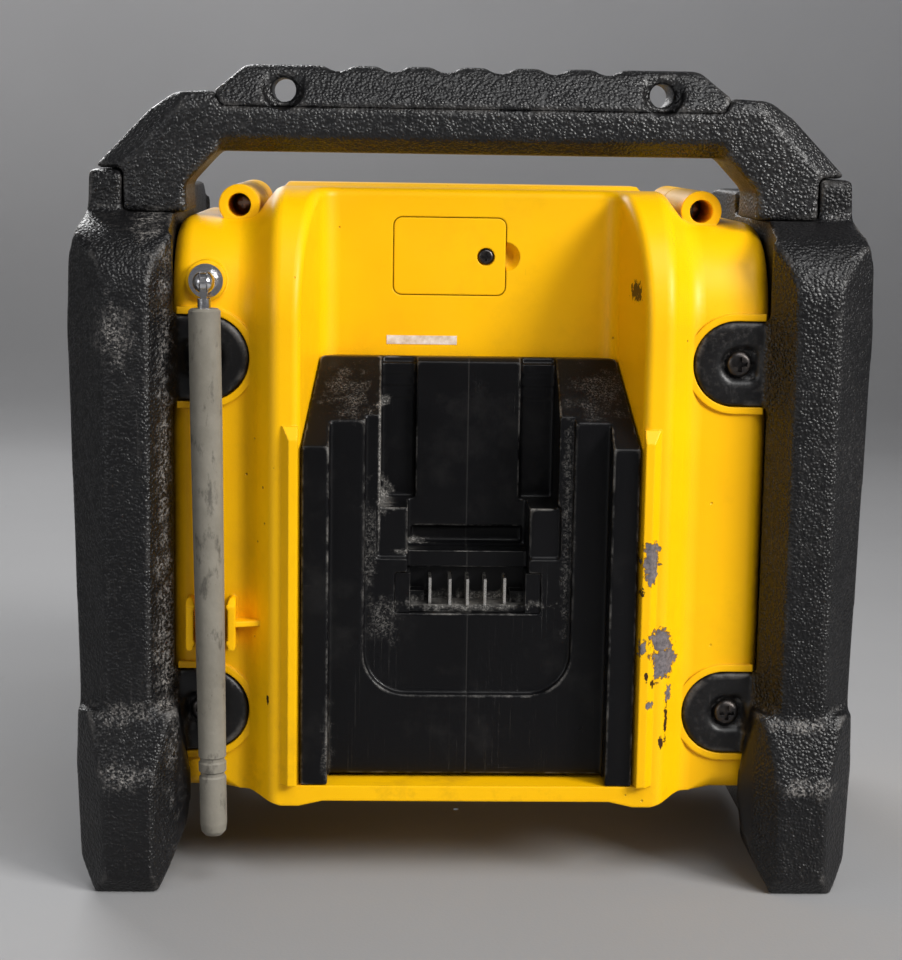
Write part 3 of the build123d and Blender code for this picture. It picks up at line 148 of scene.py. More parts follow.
# %% [markdown]
# ## Tools for finishes
# Every finish below is a Principled shader with a few patterns on it. The nodes could be laid out by
# hand in the shader editor, but the same few steps return in each finish, so small functions add one
# node each and hand back its output. The first three make a material, add a node and feed the shader.

# %% Materials and nodes
def finish(name, colour, roughness, metal=0.0, specular=0.5):
    """A new material with its shader."""
    material = bpy.data.materials.new(name)
    material.use_nodes = True
    shader = material.node_tree.nodes["Principled BSDF"]
    shader.inputs["Base Color"].default_value = (*colour, 1)
    shader.inputs["Roughness"].default_value = roughness
    shader.inputs["Metallic"].default_value = metal
    shader.inputs["Specular IOR Level"].default_value = specular
    return material


def add(material, kind, **settings):
    """A node with its settings; i0 and i1 are its first inputs, and __ stands for a space in a name."""
    made = material.node_tree.nodes.new(kind)
    for key, value in settings.items():
        key = key.replace("__", " ")
        linked = isinstance(value, bpy.types.NodeSocket)
        if hasattr(made, key) and not linked:
            setattr(made, key, value)
            continue
        socket = made.inputs[int(key[1:])] if key in ("i0", "i1") else made.inputs[key]
        if linked:
            material.node_tree.links.new(value, socket)
        else:
            socket.default_value = value
    return made


def connect(material, socket, value):
    """Feeds one shader socket."""
    material.node_tree.links.new(value, material.node_tree.nodes["Principled BSDF"].inputs[socket])


print("tools:", finish.__name__, add.__name__, connect.__name__)

# %% [markdown]
# ## Patterns
# A pattern painted on an unwrapped surface would need seams and images. Noise read from the piece's
# own coordinates needs neither. The coordinates are metres, so a scale of 500 means cells about 2 mm
# wide, and one real size works on every piece. Stretching the coordinates turns noise into streaks.

# %% Coordinates and noise
def place(material, scale=(1, 1, 1), turn=(0, 0, 0)):
    """The piece's own coordinates in metres, stretched and turned."""
    coords = add(material, "ShaderNodeTexCoord").outputs["Object"]
    return add(material, "ShaderNodeMapping", Vector=coords, Scale=scale, Rotation=turn).outputs["Vector"]


def axis(material, letter):
    """One coordinate, X, Y or Z, in metres."""
    return add(material, "ShaderNodeSeparateXYZ", Vector=place(material)).outputs[letter]


def noise(material, scale, detail=3.0, rough=0.5, at=None):
    """Cloudy noise, 0 to 1."""
    at = at or place(material)
    made = add(material, "ShaderNodeTexNoise", Vector=at, Scale=scale, Detail=detail, Roughness=rough)
    return made.outputs["Fac"]


def streaks(material, detail, rough, stretch, turn=(0, 0, 0)):
    """Noise drawn out along the axes whose stretch is small."""
    return noise(material, 1.0, detail, rough, place(material, stretch, turn))


def steps(material, value, low, high, soft="LINEAR"):
    """0 at low, 1 at high, and even between."""
    made = add(material, "ShaderNodeMapRange", Value=value, interpolation_type=soft, From__Min=low, From__Max=high)
    return made.outputs["Result"]


print("patterns:", place.__name__, axis.__name__, noise.__name__, streaks.__name__, steps.__name__)

# %% [markdown]
# ## Sums and mixes
# Masks run from 0 to 1, so most sums are held to that range. Distances are not masks and stay free.

# %% Sums and mixes
def maths(material, operation, a, b=None, clamp=True):
    """One sum; its answer is held between 0 and 1 unless clamp is off."""
    made = add(material, "ShaderNodeMath", i0=a, operation=operation, use_clamp=clamp)
    if isinstance(b, bpy.types.NodeSocket):
        material.node_tree.links.new(b, made.inputs[1])
    elif b is not None:
        made.inputs[1].default_value = b
    return made.outputs[0]


def times(material, a, b):
    """One mask inside another, or a mask made weaker."""
    return maths(material, "MULTIPLY", a, b)


def plus(material, a, b):
    """Two masks together."""
    return maths(material, "ADD", a, b)


def lowest(material, values):
    """The smallest of several values."""
    total = values[0]
    for value in values[1:]:
        total = maths(material, "MINIMUM", total, value, clamp=False)
    return total


def strongest(material, masks):
    """The largest of several masks."""
    total = masks[0]
    for mask in masks[1:]:
        total = maths(material, "MAXIMUM", total, mask, clamp=False)
    return total


def blend_colour(material, factor, a, b):
    """Mix of two colours."""
    made = add(material, "ShaderNodeMix", data_type="RGBA")
    factor_input, first_colour, second_colour = made.inputs[0], made.inputs[6], made.inputs[7]
    for socket, value in ((factor_input, factor), (first_colour, a), (second_colour, b)):
        if isinstance(value, bpy.types.NodeSocket):
            material.node_tree.links.new(value, socket)
        else:
            socket.default_value = (*value, 1)
    return made.outputs[2]


print("sums:", times.__name__, plus.__name__, lowest.__name__, strongest.__name__, blend_colour.__name__)

# %% [markdown]
# ## Marks at real places, and relief
# A chip or a smear of dust sits at one place on the radio. It could be its own mesh, but it has no
# thickness to speak of, so it is a spot in the finish: the distance from a point, with noise added so
# that its outline is ragged. Relief turns a pattern into small bumps given in metres.

# %% Spots and relief
def ragged_distance(material, centre, radii, ragged=0.5, wobble=300.0):
    """How far out of a ragged spot a point is: under 1 is inside."""
    offset = add(material, "ShaderNodeVectorMath", i0=place(material), i1=centre, operation="SUBTRACT").outputs[0]
    inverse = tuple(1 / radius for radius in radii)
    local = add(material, "ShaderNodeVectorMath", i0=offset, i1=inverse, operation="MULTIPLY").outputs[0]
    length = add(material, "ShaderNodeVectorMath", i0=local, operation="LENGTH").outputs["Value"]
    outline = steps(material, noise(material, wobble, 4, 0.68), 0.32, 0.68)
    outline = maths(material, "MULTIPLY", outline, 2 * ragged, clamp=False)
    total = maths(material, "ADD", length, outline, clamp=False)
    return maths(material, "SUBTRACT", total, ragged, clamp=False)


def spots(material, rows):
    """One mask of ragged spots: 1 in the middle of each, fading to 0 outside."""
    outer, inner = 1.35, 0.30
    return strongest(material, [steps(material, ragged_distance(material, *row), outer, inner) for row in rows])


def relief(material, heights, soften=0.0):
    """Bumps from (height output, depth in metres) pairs, on edges softened by a radius if one is given."""
    normal = add(material, "ShaderNodeBevel", Radius=soften, samples=4).outputs["Normal"] if soften else None
    for height, depth in heights:
        made = add(material, "ShaderNodeBump", Height=height, Distance=depth)
        if normal is not None:
            material.node_tree.links.new(normal, made.inputs["Normal"])
        normal = made.outputs["Normal"]
    connect(material, "Normal", normal)


print("marks:", ragged_distance.__name__, spots.__name__, relief.__name__)

# %% [markdown]
# ## Studio paper
# Seamless background paper is matt and almost even. One flat grey would look like a computer's grey, so
# a faint cloudiness and a few dusty marks go on it. The part that is wall gets painted light: it is coloured
# far paler than the floor, rising with height, to make up for the wall standing further from the lights.

# %% Paper finish
paper = finish("studio_paper", (0.33, 0.33, 0.335), 0.75, specular=0.2)
cloud = steps(paper, noise(paper, 3.0, 4), 0.3, 0.7)
ground_tone = blend_colour(paper, cloud, (0.300, 0.300, 0.306), (0.330, 0.330, 0.336))
# Painted light: the wall tone is far paler than the floor's and is blended in with height.
painted_light_wall_tone = blend_colour(paper, cloud, (0.86, 0.86, 0.875), (0.92, 0.92, 0.935))
painted_light_rise = steps(paper, axis(paper, "Z"), 0.02, 0.55)
connect(paper, "Base Color", blend_colour(paper, painted_light_rise, ground_tone, painted_light_wall_tone))
marks = steps(paper, streaks(paper, 5, 0.8, (60, 9, 20), (0, 0, 0.5)), 0.62, 0.75)
connect(paper, "Roughness", plus(paper, 0.68, times(paper, marks, 0.2)))
relief(paper, [(noise(paper, 900.0, 3), 0.00005)])
floor.data.materials.append(paper)
print("floor finish:", paper.name)

# %% [markdown]
# ## Yellow plastic: colour, grime and painted crease shade
# The shells are moulded in coloured plastic with a fine spark-eroded skin. The colour is not a coat of
# paint, so it wanders only a little from warm to clean yellow. The creases, which the shader finds by how
# closed-in a point is, are darkened dark brown: painted shade mixed with grime. A dirty film gathers low down.

# %% Yellow colour and grime
yellow = finish("yellow_plastic", (0.92, 0.49, 0.001), 0.4, specular=0.22)
drift = steps(yellow, noise(yellow, 14.0, 4, 0.55), 0.3, 0.7)
body_colour = blend_colour(yellow, drift, (0.89, 0.455, 0.0006), (0.96, 0.525, 0.0010))
# Painted shade: the creases found by ambient occlusion are darkened dark brown, partly grime and partly shade.
crease_shade_mask = add(yellow, "ShaderNodeAmbientOcclusion", Distance=0.006, samples=3).outputs["AO"]
crease_shade_mask = steps(yellow, crease_shade_mask, 0.62, 0.18)
grime_and_crease_shade = times(yellow, crease_shade_mask, steps(yellow, noise(yellow, 90.0, 5, 0.7), 0.30, 0.62))
body_colour = blend_colour(yellow, times(yellow, grime_and_crease_shade, 0.55), body_colour, (0.20, 0.075, 0.004))
film = steps(yellow, noise(yellow, 60.0, 6, 0.7), 0.52, 0.75)
low_down = steps(yellow, axis(yellow, "Z"), 0.075, 0.026)
dirt = times(yellow, film, plus(yellow, times(yellow, low_down, 0.30), 0.10))
body_colour = blend_colour(yellow, dirt, body_colour, (0.30, 0.13, 0.012))
print("yellow so far has", len(yellow.node_tree.nodes), "nodes")

# %% [markdown]
# ## Yellow plastic: specks and hairlines
# Grit leaves round dark specks and long thin scratches. Cells with their middles picked out make the
# specks, and strongly stretched noise makes the scratches. A second, coarser noise lets them through
# only here and there, because an even scatter looks printed.

# %% Yellow specks and hairlines
specks = add(yellow, "ShaderNodeTexVoronoi", Vector=place(yellow), Scale=130.0).outputs["Distance"]
specks = steps(yellow, specks, 0.075, 0.045)
specks = times(yellow, specks, steps(yellow, noise(yellow, 31.0, 3), 0.56, 0.62))
body_colour = blend_colour(yellow, times(yellow, specks, 0.7), body_colour, (0.12, 0.055, 0.012))
hairlines = steps(yellow, streaks(yellow, 5, 0.8, (900, 900, 60), (0.3, 0.25, 0.2)), 0.69, 0.74)
hairlines = times(yellow, hairlines, steps(yellow, noise(yellow, 22.0, 2), 0.5, 0.62))
body_colour = blend_colour(yellow, times(yellow, hairlines, 0.45), body_colour, (0.34, 0.15, 0.02))
print("yellow so far has", len(yellow.node_tree.nodes), "nodes")

# %% [markdown]
# ## Yellow plastic: bruises and gouges
# A knock on solid plastic shows no bare metal. It leaves a bruise: grey where something rubbed off on
# it, dark where dirt filled a gouge. Most are on the ridge that is on the right from behind. Each row
# is a centre, the radii of the mark, how ragged it is, and how fine its outline is.

# %% Yellow bruises and gouges
BRUISES = [
    ((-0.0596, 0.084, 0.1135), (0.0026, 0.02, 0.0052), 0.55),
    ((-0.0602, 0.084, 0.1085), (0.0018, 0.02, 0.0040), 0.6),
    ((-0.0640, 0.083, 0.0850), (0.0034, 0.02, 0.0042), 0.5),
    ((-0.0652, 0.083, 0.0790), (0.0040, 0.02, 0.0058), 0.5),
    ((-0.0575, 0.084, 0.0835), (0.0010, 0.02, 0.0026), 0.7, 500.0),
    ((-0.0672, 0.081, 0.0668), (0.0012, 0.02, 0.0024), 0.7, 500.0),
    ((-0.0605, 0.083, 0.0640), (0.0012, 0.02, 0.0012), 0.7, 500.0),
]
GOUGES = [
    ((-0.0548, 0.068, 0.2000), (0.0040, 0.0060, 0.0030), 0.7, 420.0),
    ((-0.0665, 0.081, 0.0560), (0.0006, 0.02, 0.0060), 0.8, 420.0),
    ((-0.0650, 0.082, 0.0500), (0.0008, 0.02, 0.0022), 0.8, 600.0),
    ((-0.0590, 0.083, 0.0740), (0.0005, 0.02, 0.0020), 0.8, 600.0),
    ((-0.0615, 0.083, 0.0710), (0.0008, 0.02, 0.0010), 0.8, 600.0),
    ((-0.0570, 0.084, 0.1020), (0.0006, 0.02, 0.0014), 0.8, 600.0),
    ((0.0665, 0.081, 0.0640), (0.0004, 0.02, 0.0016), 0.8, 600.0),
]
bruised = lowest(yellow, [ragged_distance(yellow, *row) for row in BRUISES])
gouged = lowest(yellow, [ragged_distance(yellow, *row) for row in GOUGES])
bruise_core, bruise_rim = steps(yellow, bruised, 1.00, 0.96), steps(yellow, bruised, 1.16, 1.06)
gouge_core = steps(yellow, gouged, 1.05, 0.95)
rubbed_grey = steps(yellow, noise(yellow, 700.0, 4, 0.7), 0.35, 0.65)
rubbed_grey = blend_colour(yellow, rubbed_grey, (0.085, 0.075, 0.080), (0.20, 0.175, 0.18))
body_colour = blend_colour(yellow, times(yellow, bruise_rim, 0.8), body_colour, (0.20, 0.085, 0.010))
body_colour = blend_colour(yellow, bruise_core, body_colour, rubbed_grey)
body_colour = blend_colour(yellow, gouge_core, body_colour, (0.045, 0.020, 0.008))
connect(yellow, "Base Color", body_colour)
print("bruises:", len(BRUISES), "gouges:", len(GOUGES))

# %% [markdown]
# ## Yellow plastic: gloss and relief
# Handling polishes plastic in patches, so the gloss wanders, and bruised places and the grimy, shade-darkened
# creases are dull. The bruises and gouges are also sunk a third of a millimetre. The shells keep their crisp
# measured mesh, and the light on their edges is rounded in the shader, as a real mould radius would do.

# %% Yellow gloss and relief
gloss = steps(yellow, noise(yellow, 45.0, 5, 0.6), 0.1, 1.1)
gloss = plus(yellow, times(yellow, gloss, 0.28), 0.28)
dull = times(yellow, strongest(yellow, [bruise_core, grime_and_crease_shade]), 0.3)
connect(yellow, "Roughness", plus(yellow, gloss, dull))
skin_grain = noise(yellow, 1900.0, 2, 0.5)
whole = maths(yellow, "SUBTRACT", 1.0, strongest(yellow, [bruise_core, gouge_core, specks]))
relief(yellow, [(skin_grain, 0.00003), (whole, 0.00035)], soften=0.0009)
print("yellow finish has", len(yellow.node_tree.nodes), "nodes")

# %% [markdown]
# ## Pebbled grain of the cage
# The cage and handle have a leather-like grain of raised pebbles about a millimetre across. Modelled
# pebbles would take millions of faces. Cells give one pebble each, and a little noise bends the cells
# out of their straight sides. The cage's round tabs are smooth, so its grain stops at their reach.

# %% Pebbles
def pebbles(material, smooth_reach):
    """Heights of the grain; there is none nearer the middle of the radio than smooth_reach."""
    reach = maths(material, "ABSOLUTE", axis(material, "X"), clamp=False)
    grained = steps(material, reach, smooth_reach, smooth_reach + 0.0015)
    bend = add(material, "ShaderNodeTexNoise", Vector=place(material), Scale=300.0, Detail=2.0).outputs["Color"]
    bend = add(material, "ShaderNodeVectorMath", i0=bend, i1=(0.0016,) * 3, operation="MULTIPLY").outputs[0]
    bent = add(material, "ShaderNodeVectorMath", i0=place(material), i1=bend, operation="ADD").outputs[0]
    cells = add(material, "ShaderNodeTexVoronoi", Vector=bent, Scale=900.0, Randomness=1.0)
    return times(material, steps(material, cells.outputs["Distance"], 0.85, -0.05, "SMOOTHSTEP"), grained)


print("grain:", pebbles.__name__)

# %% [markdown]
# ## Scuffs and dust of the cage
# Years of being put down on concrete rub the edges pale, and dust stays in the hollows. Where an edge
# is can't be told from noise. The smoothed cage pieces further down carry a number at each point,
# called edge, that says how far the point stands out of its surroundings, and the scuffs follow it.
# The dust has its own places: where the rails meet the feet, and along the inner bevel.

# %% Scuffs and dust
CAGE_DUST = [
    ((0.100, 0.079, 0.060), (0.0035, 0.006, 0.050), 0.7, 160.0),
    ((0.100, 0.079, 0.150), (0.0018, 0.004, 0.070), 0.8, 160.0),
    ((0.112, 0.087, 0.0610), (0.0090, 0.006, 0.0030), 0.7, 200.0),
    ((0.113, 0.092, 0.0400), (0.0080, 0.006, 0.0040), 0.7, 200.0),
    ((-0.112, 0.088, 0.0580), (0.0100, 0.006, 0.0022), 0.7, 200.0),
    ((-0.113, 0.092, 0.0380), (0.0090, 0.006, 0.0030), 0.8, 200.0),
    ((0.106, 0.060, 0.2160), (0.0050, 0.020, 0.0080), 0.8, 160.0),
    ((0.116, 0.085, 0.1850), (0.0060, 0.006, 0.0080), 0.8, 200.0),
]


def wear_number(material):
    """How far a point of a smoothed skin stands out; below 0 it is in a hollow."""
    return add(material, "ShaderNodeAttribute", attribute_name="edge").outputs["Fac"]


def scuffs(material, dust_amount):
    """One mask of rubbed, streaked and dusty places."""
    fine = steps(material, noise(material, 520.0, 4, 0.75), 0.50, 0.68)
    patches = times(material, steps(material, noise(material, 24.0, 5, 0.65), 0.47, 0.72), fine)
    scratches = steps(material, streaks(material, 4, 0.75, (600, 600, 30), (0.12, 0.2, 0.1)), 0.62, 0.76)
    edge = wear_number(material)
    rubbed = steps(material, noise(material, 75.0, 5, 0.75), 0.45, 0.66)
    rubbed = times(material, steps(material, edge, 0.26, 0.55), rubbed)
    hollow = times(material, steps(material, edge, -0.16, -0.40), fine)
    grains = steps(material, noise(material, 900.0, 3, 0.8), 0.47, 0.62)
    dusty = times(material, spots(material, CAGE_DUST), grains)
    total = times(material, patches, 0.15)
    for mask, weight in ((scratches, 0.12), (rubbed, 0.35), (hollow, 0.30), (dusty, 0.8)):
        total = plus(material, total, times(material, mask, weight))
    return times(material, total, dust_amount)


print("dusty places:", len(CAGE_DUST))

# %% [markdown]
# ## Cage and handle finishes
# Black plastic is almost all gloss and hardly any colour, so the colour is very dark and the shine does
# the work. The handle is cleaner and shinier than the cage, polished by hands. One function makes both.

# %% Cage finish
TAB_REACH, NO_TABS = 0.0958, -0.01


def pebbled(name, dust_amount, smooth_reach, specular):
    """The cage plastic with its grain and scuffs."""
    made = finish(name, (0.004, 0.004, 0.005), 0.4, specular=specular)
    grain = pebbles(made, smooth_reach)
    scuff = scuffs(made, dust_amount)
    tone = steps(made, noise(made, 9.0, 3), 0.3, 0.7)
    tone = blend_colour(made, tone, (0.0018, 0.0018, 0.0023), (0.0046, 0.0043, 0.0048))
    connect(made, "Base Color", blend_colour(made, scuff, tone, (0.34, 0.32, 0.30)))
    roughness = plus(made, times(made, noise(made, 70.0, 4), 0.24), times(made, scuff, 0.45))
    connect(made, "Roughness", plus(made, roughness, 0.27))
    relief(made, [(grain, 0.00026), (noise(made, 300.0, 3), 0.00014)])
    return made


cage_finish = pebbled("cage_plastic", 0.75, TAB_REACH, 0.38)
handle_finish = pebbled("handle_plastic", 0.50, NO_TABS, 0.52)
print("cage finishes:", cage_finish.name, handle_finish.name)

# %% [markdown]
# ## Worn edges with painted highlight
# On the receiver and the small black fittings the edges are painted pale: partly wear, since on an untreated
# moulding the first thing to turn pale is an edge, and partly a painted edge highlight. On a smoothed skin the
# edge number finds an edge. A piece shown as it was measured has no such number, so there a small rounding is
# worked out in the shader: where the rounded direction differs from the true one, an edge is within reach.

# %% Edge masks
def proud_edges(material):
    """Edges by the wear number of a smoothed skin."""
    return steps(material, wear_number(material), 0.34, 0.66)


def near_edges(material):
    """Edges within half a millimetre, for pieces shown as they were measured."""
    rounded = add(material, "ShaderNodeBevel", Radius=0.0005, samples=4).outputs["Normal"]
    true = add(material, "ShaderNodeNewGeometry").outputs["Normal"]
    along = add(material, "ShaderNodeVectorMath", i0=rounded, i1=true, operation="DOT_PRODUCT").outputs["Value"]
    return steps(material, maths(material, "SUBTRACT", 1.0, along), 0.02, 0.22)


print("edge masks:", proud_edges.__name__, near_edges.__name__)

# %% [markdown]
# ## Marks on the battery receiver
# Packs slide up and down in the receiver and leave upright scratches, and now and then one goes across.
# Dust lies thick in the pocket and as a thin bloom on the shoulders and rails. A faint line runs down
# the middle, where the two halves of the mould met.

# %% Receiver marks
THICK_DUST = [
    ((0.0300, 0.066, 0.1420), (0.0005, 0.03, 0.0230), 0.3, 500.0),
    ((0.0283, 0.056, 0.1290), (0.0026, 0.02, 0.0040), 0.7),
    ((0.0283, 0.056, 0.1610), (0.0024, 0.02, 0.0016), 0.7),
    ((0.0190, 0.062, 0.1125), (0.0060, 0.02, 0.0010), 0.6),
    ((0.0, 0.066, 0.0945), (0.0180, 0.02, 0.0020), 0.7),
]
THIN_DUST = [
    ((-0.0450, 0.066, 0.1660), (0.0080, 0.03, 0.0060), 0.9, 200.0),
    ((0.0330, 0.071, 0.1100), (0.0022, 0.02, 0.0180), 0.9, 150.0),
    ((0.0290, 0.071, 0.0900), (0.0045, 0.02, 0.0060), 0.9, 150.0),
    ((-0.0330, 0.071, 0.1250), (0.0016, 0.02, 0.0280), 0.9, 200.0),
    ((0.0470, 0.082, 0.0480), (0.0016, 0.02, 0.0110), 0.9, 200.0),
    ((0.0400, 0.070, 0.1640), (0.0070, 0.03, 0.0060), 0.9, 200.0),
]


def slide_marks(material):
    """Upright scratches, and the fewer ones across."""
    upright = steps(material, streaks(material, 5, 0.8, (1500, 1500, 26), (0.0, 0.02, 0.0)), 0.60, 0.72)
    upright = times(material, upright, steps(material, noise(material, 20.0, 3), 0.47, 0.6))
    across = steps(material, streaks(material, 5, 0.8, (40, 900, 1500), (0.0, 0.35, 0.0)), 0.64, 0.72)
    across = times(material, across, steps(material, noise(material, 26.0, 3), 0.52, 0.62))
    return upright, across


def settled_dust(material):
    """Gritty dust, thick in some places and thin in others."""
    grit = steps(material, noise(material, 1500.0, 4, 0.85), 0.49, 0.60)
    thick = times(material, spots(material, THICK_DUST), plus(material, times(material, grit, 0.6), 0.10))
    thin = times(material, times(material, spots(material, THIN_DUST), grit), 0.22)
    return plus(material, thick, thin)


def mould_line(material):
    """1 on the middle line of the radio, a third of a millimetre wide."""
    reach = maths(material, "ABSOLUTE", axis(material, "X"), clamp=False)
    return steps(material, reach, 0.00030, 0.00008)


print("dusty places:", len(THICK_DUST), "thick,", len(THIN_DUST), "thin")

# %% [markdown]
# ## Black satin plastic
# The receiver is a tougher, smoother plastic than the cage: nearly black and satin. The marks above only
# make it paler, each by its own weight, so they are added up into one mask. The small black fittings
# are the same plastic and differ only in how their edges are found.

# %% Receiver finish
def satin_black(name, worn_highlit_edge_finder):
    """Satin black moulding; its second argument says how its pale edges are found, which are partly worn and partly
    a painted highlight.
    """
    made = finish(name, (0.003, 0.003, 0.0035), 0.36, specular=0.19)
    tone = blend_colour(made, noise(made, 18.0, 4), (0.0016, 0.0016, 0.0020), (0.0046, 0.0046, 0.0054))
    upright, across = slide_marks(made)
    # Pale edges: partly wear and partly a painted edge highlight.
    worn_and_highlit_edges = times(made, worn_highlit_edge_finder(made), steps(made, noise(made, 110.0, 5, 0.8), 0.46, 0.66))
    bloom = steps(made, noise(made, 33.0, 6, 0.7), 0.55, 0.85)
    pale = times(made, worn_and_highlit_edges, 0.34)
    for mask, weight in ((upright, 0.05), (across, 0.06), (bloom, 0.03)):
        pale = plus(made, pale, times(made, mask, weight))
    pale = plus(made, pale, settled_dust(made))
    pale = plus(made, pale, times(made, mould_line(made), 0.035))
    connect(made, "Base Color", blend_colour(made, pale, tone, (0.46, 0.44, 0.41)))
    roughness = plus(made, 0.22, times(made, noise(made, 60.0, 5), 0.20))
    connect(made, "Roughness", plus(made, times(made, pale, 0.6), roughness))
    relief(made, [(noise(made, 1700.0, 2), 0.00002), (upright, -0.00004)])
    return made


receiver = satin_black("receiver_plastic", proud_edges)
trim = satin_black("trim_plastic", near_edges)
print("receiver finish has", len(receiver.node_tree.nodes), "nodes")

# %% [markdown]
# ## Metals
# Three metals show: the polished ball and rod of the antenna, the plain plated contacts, and the dark
# burnished screws. The rest are inside. Colour hardly tells metals apart, so each differs mostly in how
# sharp its shine is, and dull patches and a film break that shine up.

# %% Metal finishes
def metal(name, colour, roughness, dull_colour, film_amount):
    """A metal whose shine is broken by dull patches and a film."""
    made = finish(name, colour, roughness, metal=1.0)
    patch = steps(made, noise(made, 300.0, 5, 0.7), 0.42, 0.66)
    fine = steps(made, noise(made, 1800.0, 3, 0.7), 0.5, 0.7)
    connect(made, "Base Color", blend_colour(made, times(made, patch, film_amount), colour, dull_colour))
    connect(made, "Roughness", plus(made, roughness, times(made, plus(made, patch, fine), 0.16)))
    relief(made, [(noise(made, 2700.0, 2), 0.00002)])
    return made


chrome = metal("antenna_chrome", (0.78, 0.78, 0.80), 0.10, (0.30, 0.28, 0.26), 0.5)
contacts = metal("contact_plating", (0.74, 0.72, 0.68), 0.22, (0.36, 0.32, 0.26), 0.5)
plain_steel = metal("plain_steel", (0.50, 0.50, 0.50), 0.30, (0.22, 0.20, 0.18), 0.6)
screw_steel = metal("screw_steel", (0.055, 0.052, 0.052), 0.30, (0.11, 0.09, 0.075), 0.5)
basket_steel = metal("basket_steel", (0.32, 0.32, 0.33), 0.42, (0.18, 0.18, 0.18), 0.6)
magnet_metal = metal("magnet_ferrite", (0.10, 0.10, 0.11), 0.5, (0.05, 0.05, 0.05), 0.6)
sink_metal = metal("heat_sink_aluminium", (0.45, 0.46, 0.47), 0.38, (0.25, 0.25, 0.26), 0.5)
print("metals:", chrome.name, contacts.name, screw_steel.name)

# %% [markdown]
# ## Antenna sleeve
# The rod antenna has a grey rubber sleeve. Rubber takes marks from hands and from its clip: dark smudges
# that run round it and pale rubs along it. Both are stretched noise, short for the smudges and long for
# the rubs. The surface is slightly uneven as well, so the highlight down its side is not a ruled line.

# %% Sleeve finish
sleeve = finish("sleeve_rubber", (0.185, 0.170, 0.140), 0.62, specular=0.25)
sleeve_tone = steps(sleeve, noise(sleeve, 40.0, 5, 0.7), 0.35, 0.7)
sleeve_tone = blend_colour(sleeve, sleeve_tone, (0.160, 0.147, 0.120), (0.235, 0.218, 0.182))
smudge = steps(sleeve, streaks(sleeve, 5, 0.7, (240, 240, 95)), 0.56, 0.68)
sleeve_tone = blend_colour(sleeve, times(sleeve, smudge, 0.7), sleeve_tone, (0.055, 0.050, 0.042))
rub = steps(sleeve, streaks(sleeve, 5, 0.8, (700, 700, 120), (0.1, 0, 0)), 0.66, 0.74)
sleeve_tone = blend_colour(sleeve, times(sleeve, rub, 0.5), sleeve_tone, (0.30, 0.29, 0.27))
connect(sleeve, "Base Color", sleeve_tone)
connect(sleeve, "Roughness", plus(sleeve, 0.42, times(sleeve, noise(sleeve, 130.0, 4), 0.3)))
relief(sleeve, [(noise(sleeve, 900.0, 3), 0.00006), (noise(sleeve, 90.0, 3), 0.00025)])
print("sleeve finish has", len(sleeve.node_tree.nodes), "nodes")

# %% [markdown]
# ## Rubber, card and paper
# Keys and knobs are black rubber, the cones are felted paper and the small label is pale torn paper.
# Each is matt, wanders between two tones and has a fine grain, so one function with different numbers
# serves them all: two tones, the shine, the scale of the wandering, and the scale and depth of grain.

# %% Soft and printed finishes
def mottled(name, dark, light, roughness, scale, grain, grain_depth, specular=0.4):
    """A matt finish whose tone wanders between two colours."""
    made = finish(name, dark, roughness, specular=specular)
    tone = steps(made, noise(made, scale, 5, 0.65), 0.35, 0.65)
    connect(made, "Base Color", blend_colour(made, tone, dark, light))
    wander = times(made, noise(made, scale * 2, 4), 0.18)
    connect(made, "Roughness", plus(made, roughness - 0.08, wander))
    relief(made, [(noise(made, grain, 2), grain_depth)])
    return made


seal_rubber = mottled("seal_rubber", (0.012, 0.012, 0.012), (0.030, 0.029, 0.028), 0.75, 80.0, 1500.0, 0.00003)
knob_rubber = mottled("knob_rubber", (0.014, 0.014, 0.014), (0.040, 0.039, 0.037), 0.62, 120.0, 1400.0, 0.00005)
key_rubber = mottled("key_rubber", (0.018, 0.018, 0.019), (0.045, 0.044, 0.042), 0.58, 150.0, 1600.0, 0.00004)
grille_paint = mottled("grille_paint", (0.010, 0.010, 0.011), (0.030, 0.030, 0.030), 0.45, 160.0, 1800.0, 0.00004)
cone_paper = mottled("cone_paper", (0.025, 0.024, 0.023), (0.060, 0.057, 0.053), 0.85, 240.0, 1200.0, 0.00012, 0.2)
lead_skin = mottled("lead_skin", (0.30, 0.015, 0.012), (0.42, 0.03, 0.025), 0.45, 90.0, 900.0, 0.00003)
label_paper = mottled("label_paper", (0.55, 0.42, 0.30), (0.80, 0.72, 0.66), 0.70, 260.0, 1500.0, 0.00005, 0.3)
part_epoxy = mottled("part_epoxy", (0.015, 0.015, 0.016), (0.035, 0.035, 0.036), 0.5, 200.0, 1600.0, 0.00003)
print("rubber and paper finishes:", key_rubber.name, label_paper.name)

# %% [markdown]
# ## Boards
# A circuit board is green lacquer over copper: where a track runs, the green is lighter. Real tracks
# would take a drawing, and hardly anything of the boards shows. A brick pattern laid on its side has
# the same even, right-angled lines, so its mortar stands for the tracks.

# %% Board finish
ON_ITS_SIDE = (math.pi / 2, 0, 0)

board_green = finish("board_lacquer", (0.012, 0.085, 0.030), 0.32, specular=0.5)
upright_plane = place(board_green, (1, 1, 1), ON_ITS_SIDE)
tracks = add(board_green, "ShaderNodeTexBrick", Vector=upright_plane, Scale=60.0,
             Mortar__Size=0.035, Mortar__Smooth=0.2).outputs["Fac"]
connect(board_green, "Base Color", blend_colour(board_green, tracks, (0.010, 0.070, 0.026), (0.030, 0.150, 0.050)))
relief(board_green, [(tracks, 0.00004)])
print("board finish:", board_green.name)

# %% [markdown]
# ## Display and its window
# The display is switched off, so it is a grey-green pane with the faint grid of its dots, again bricks
# with the offset between rows taken out. The window over it is clear plastic with wipe marks, which
# show only in how sharp its reflections are.

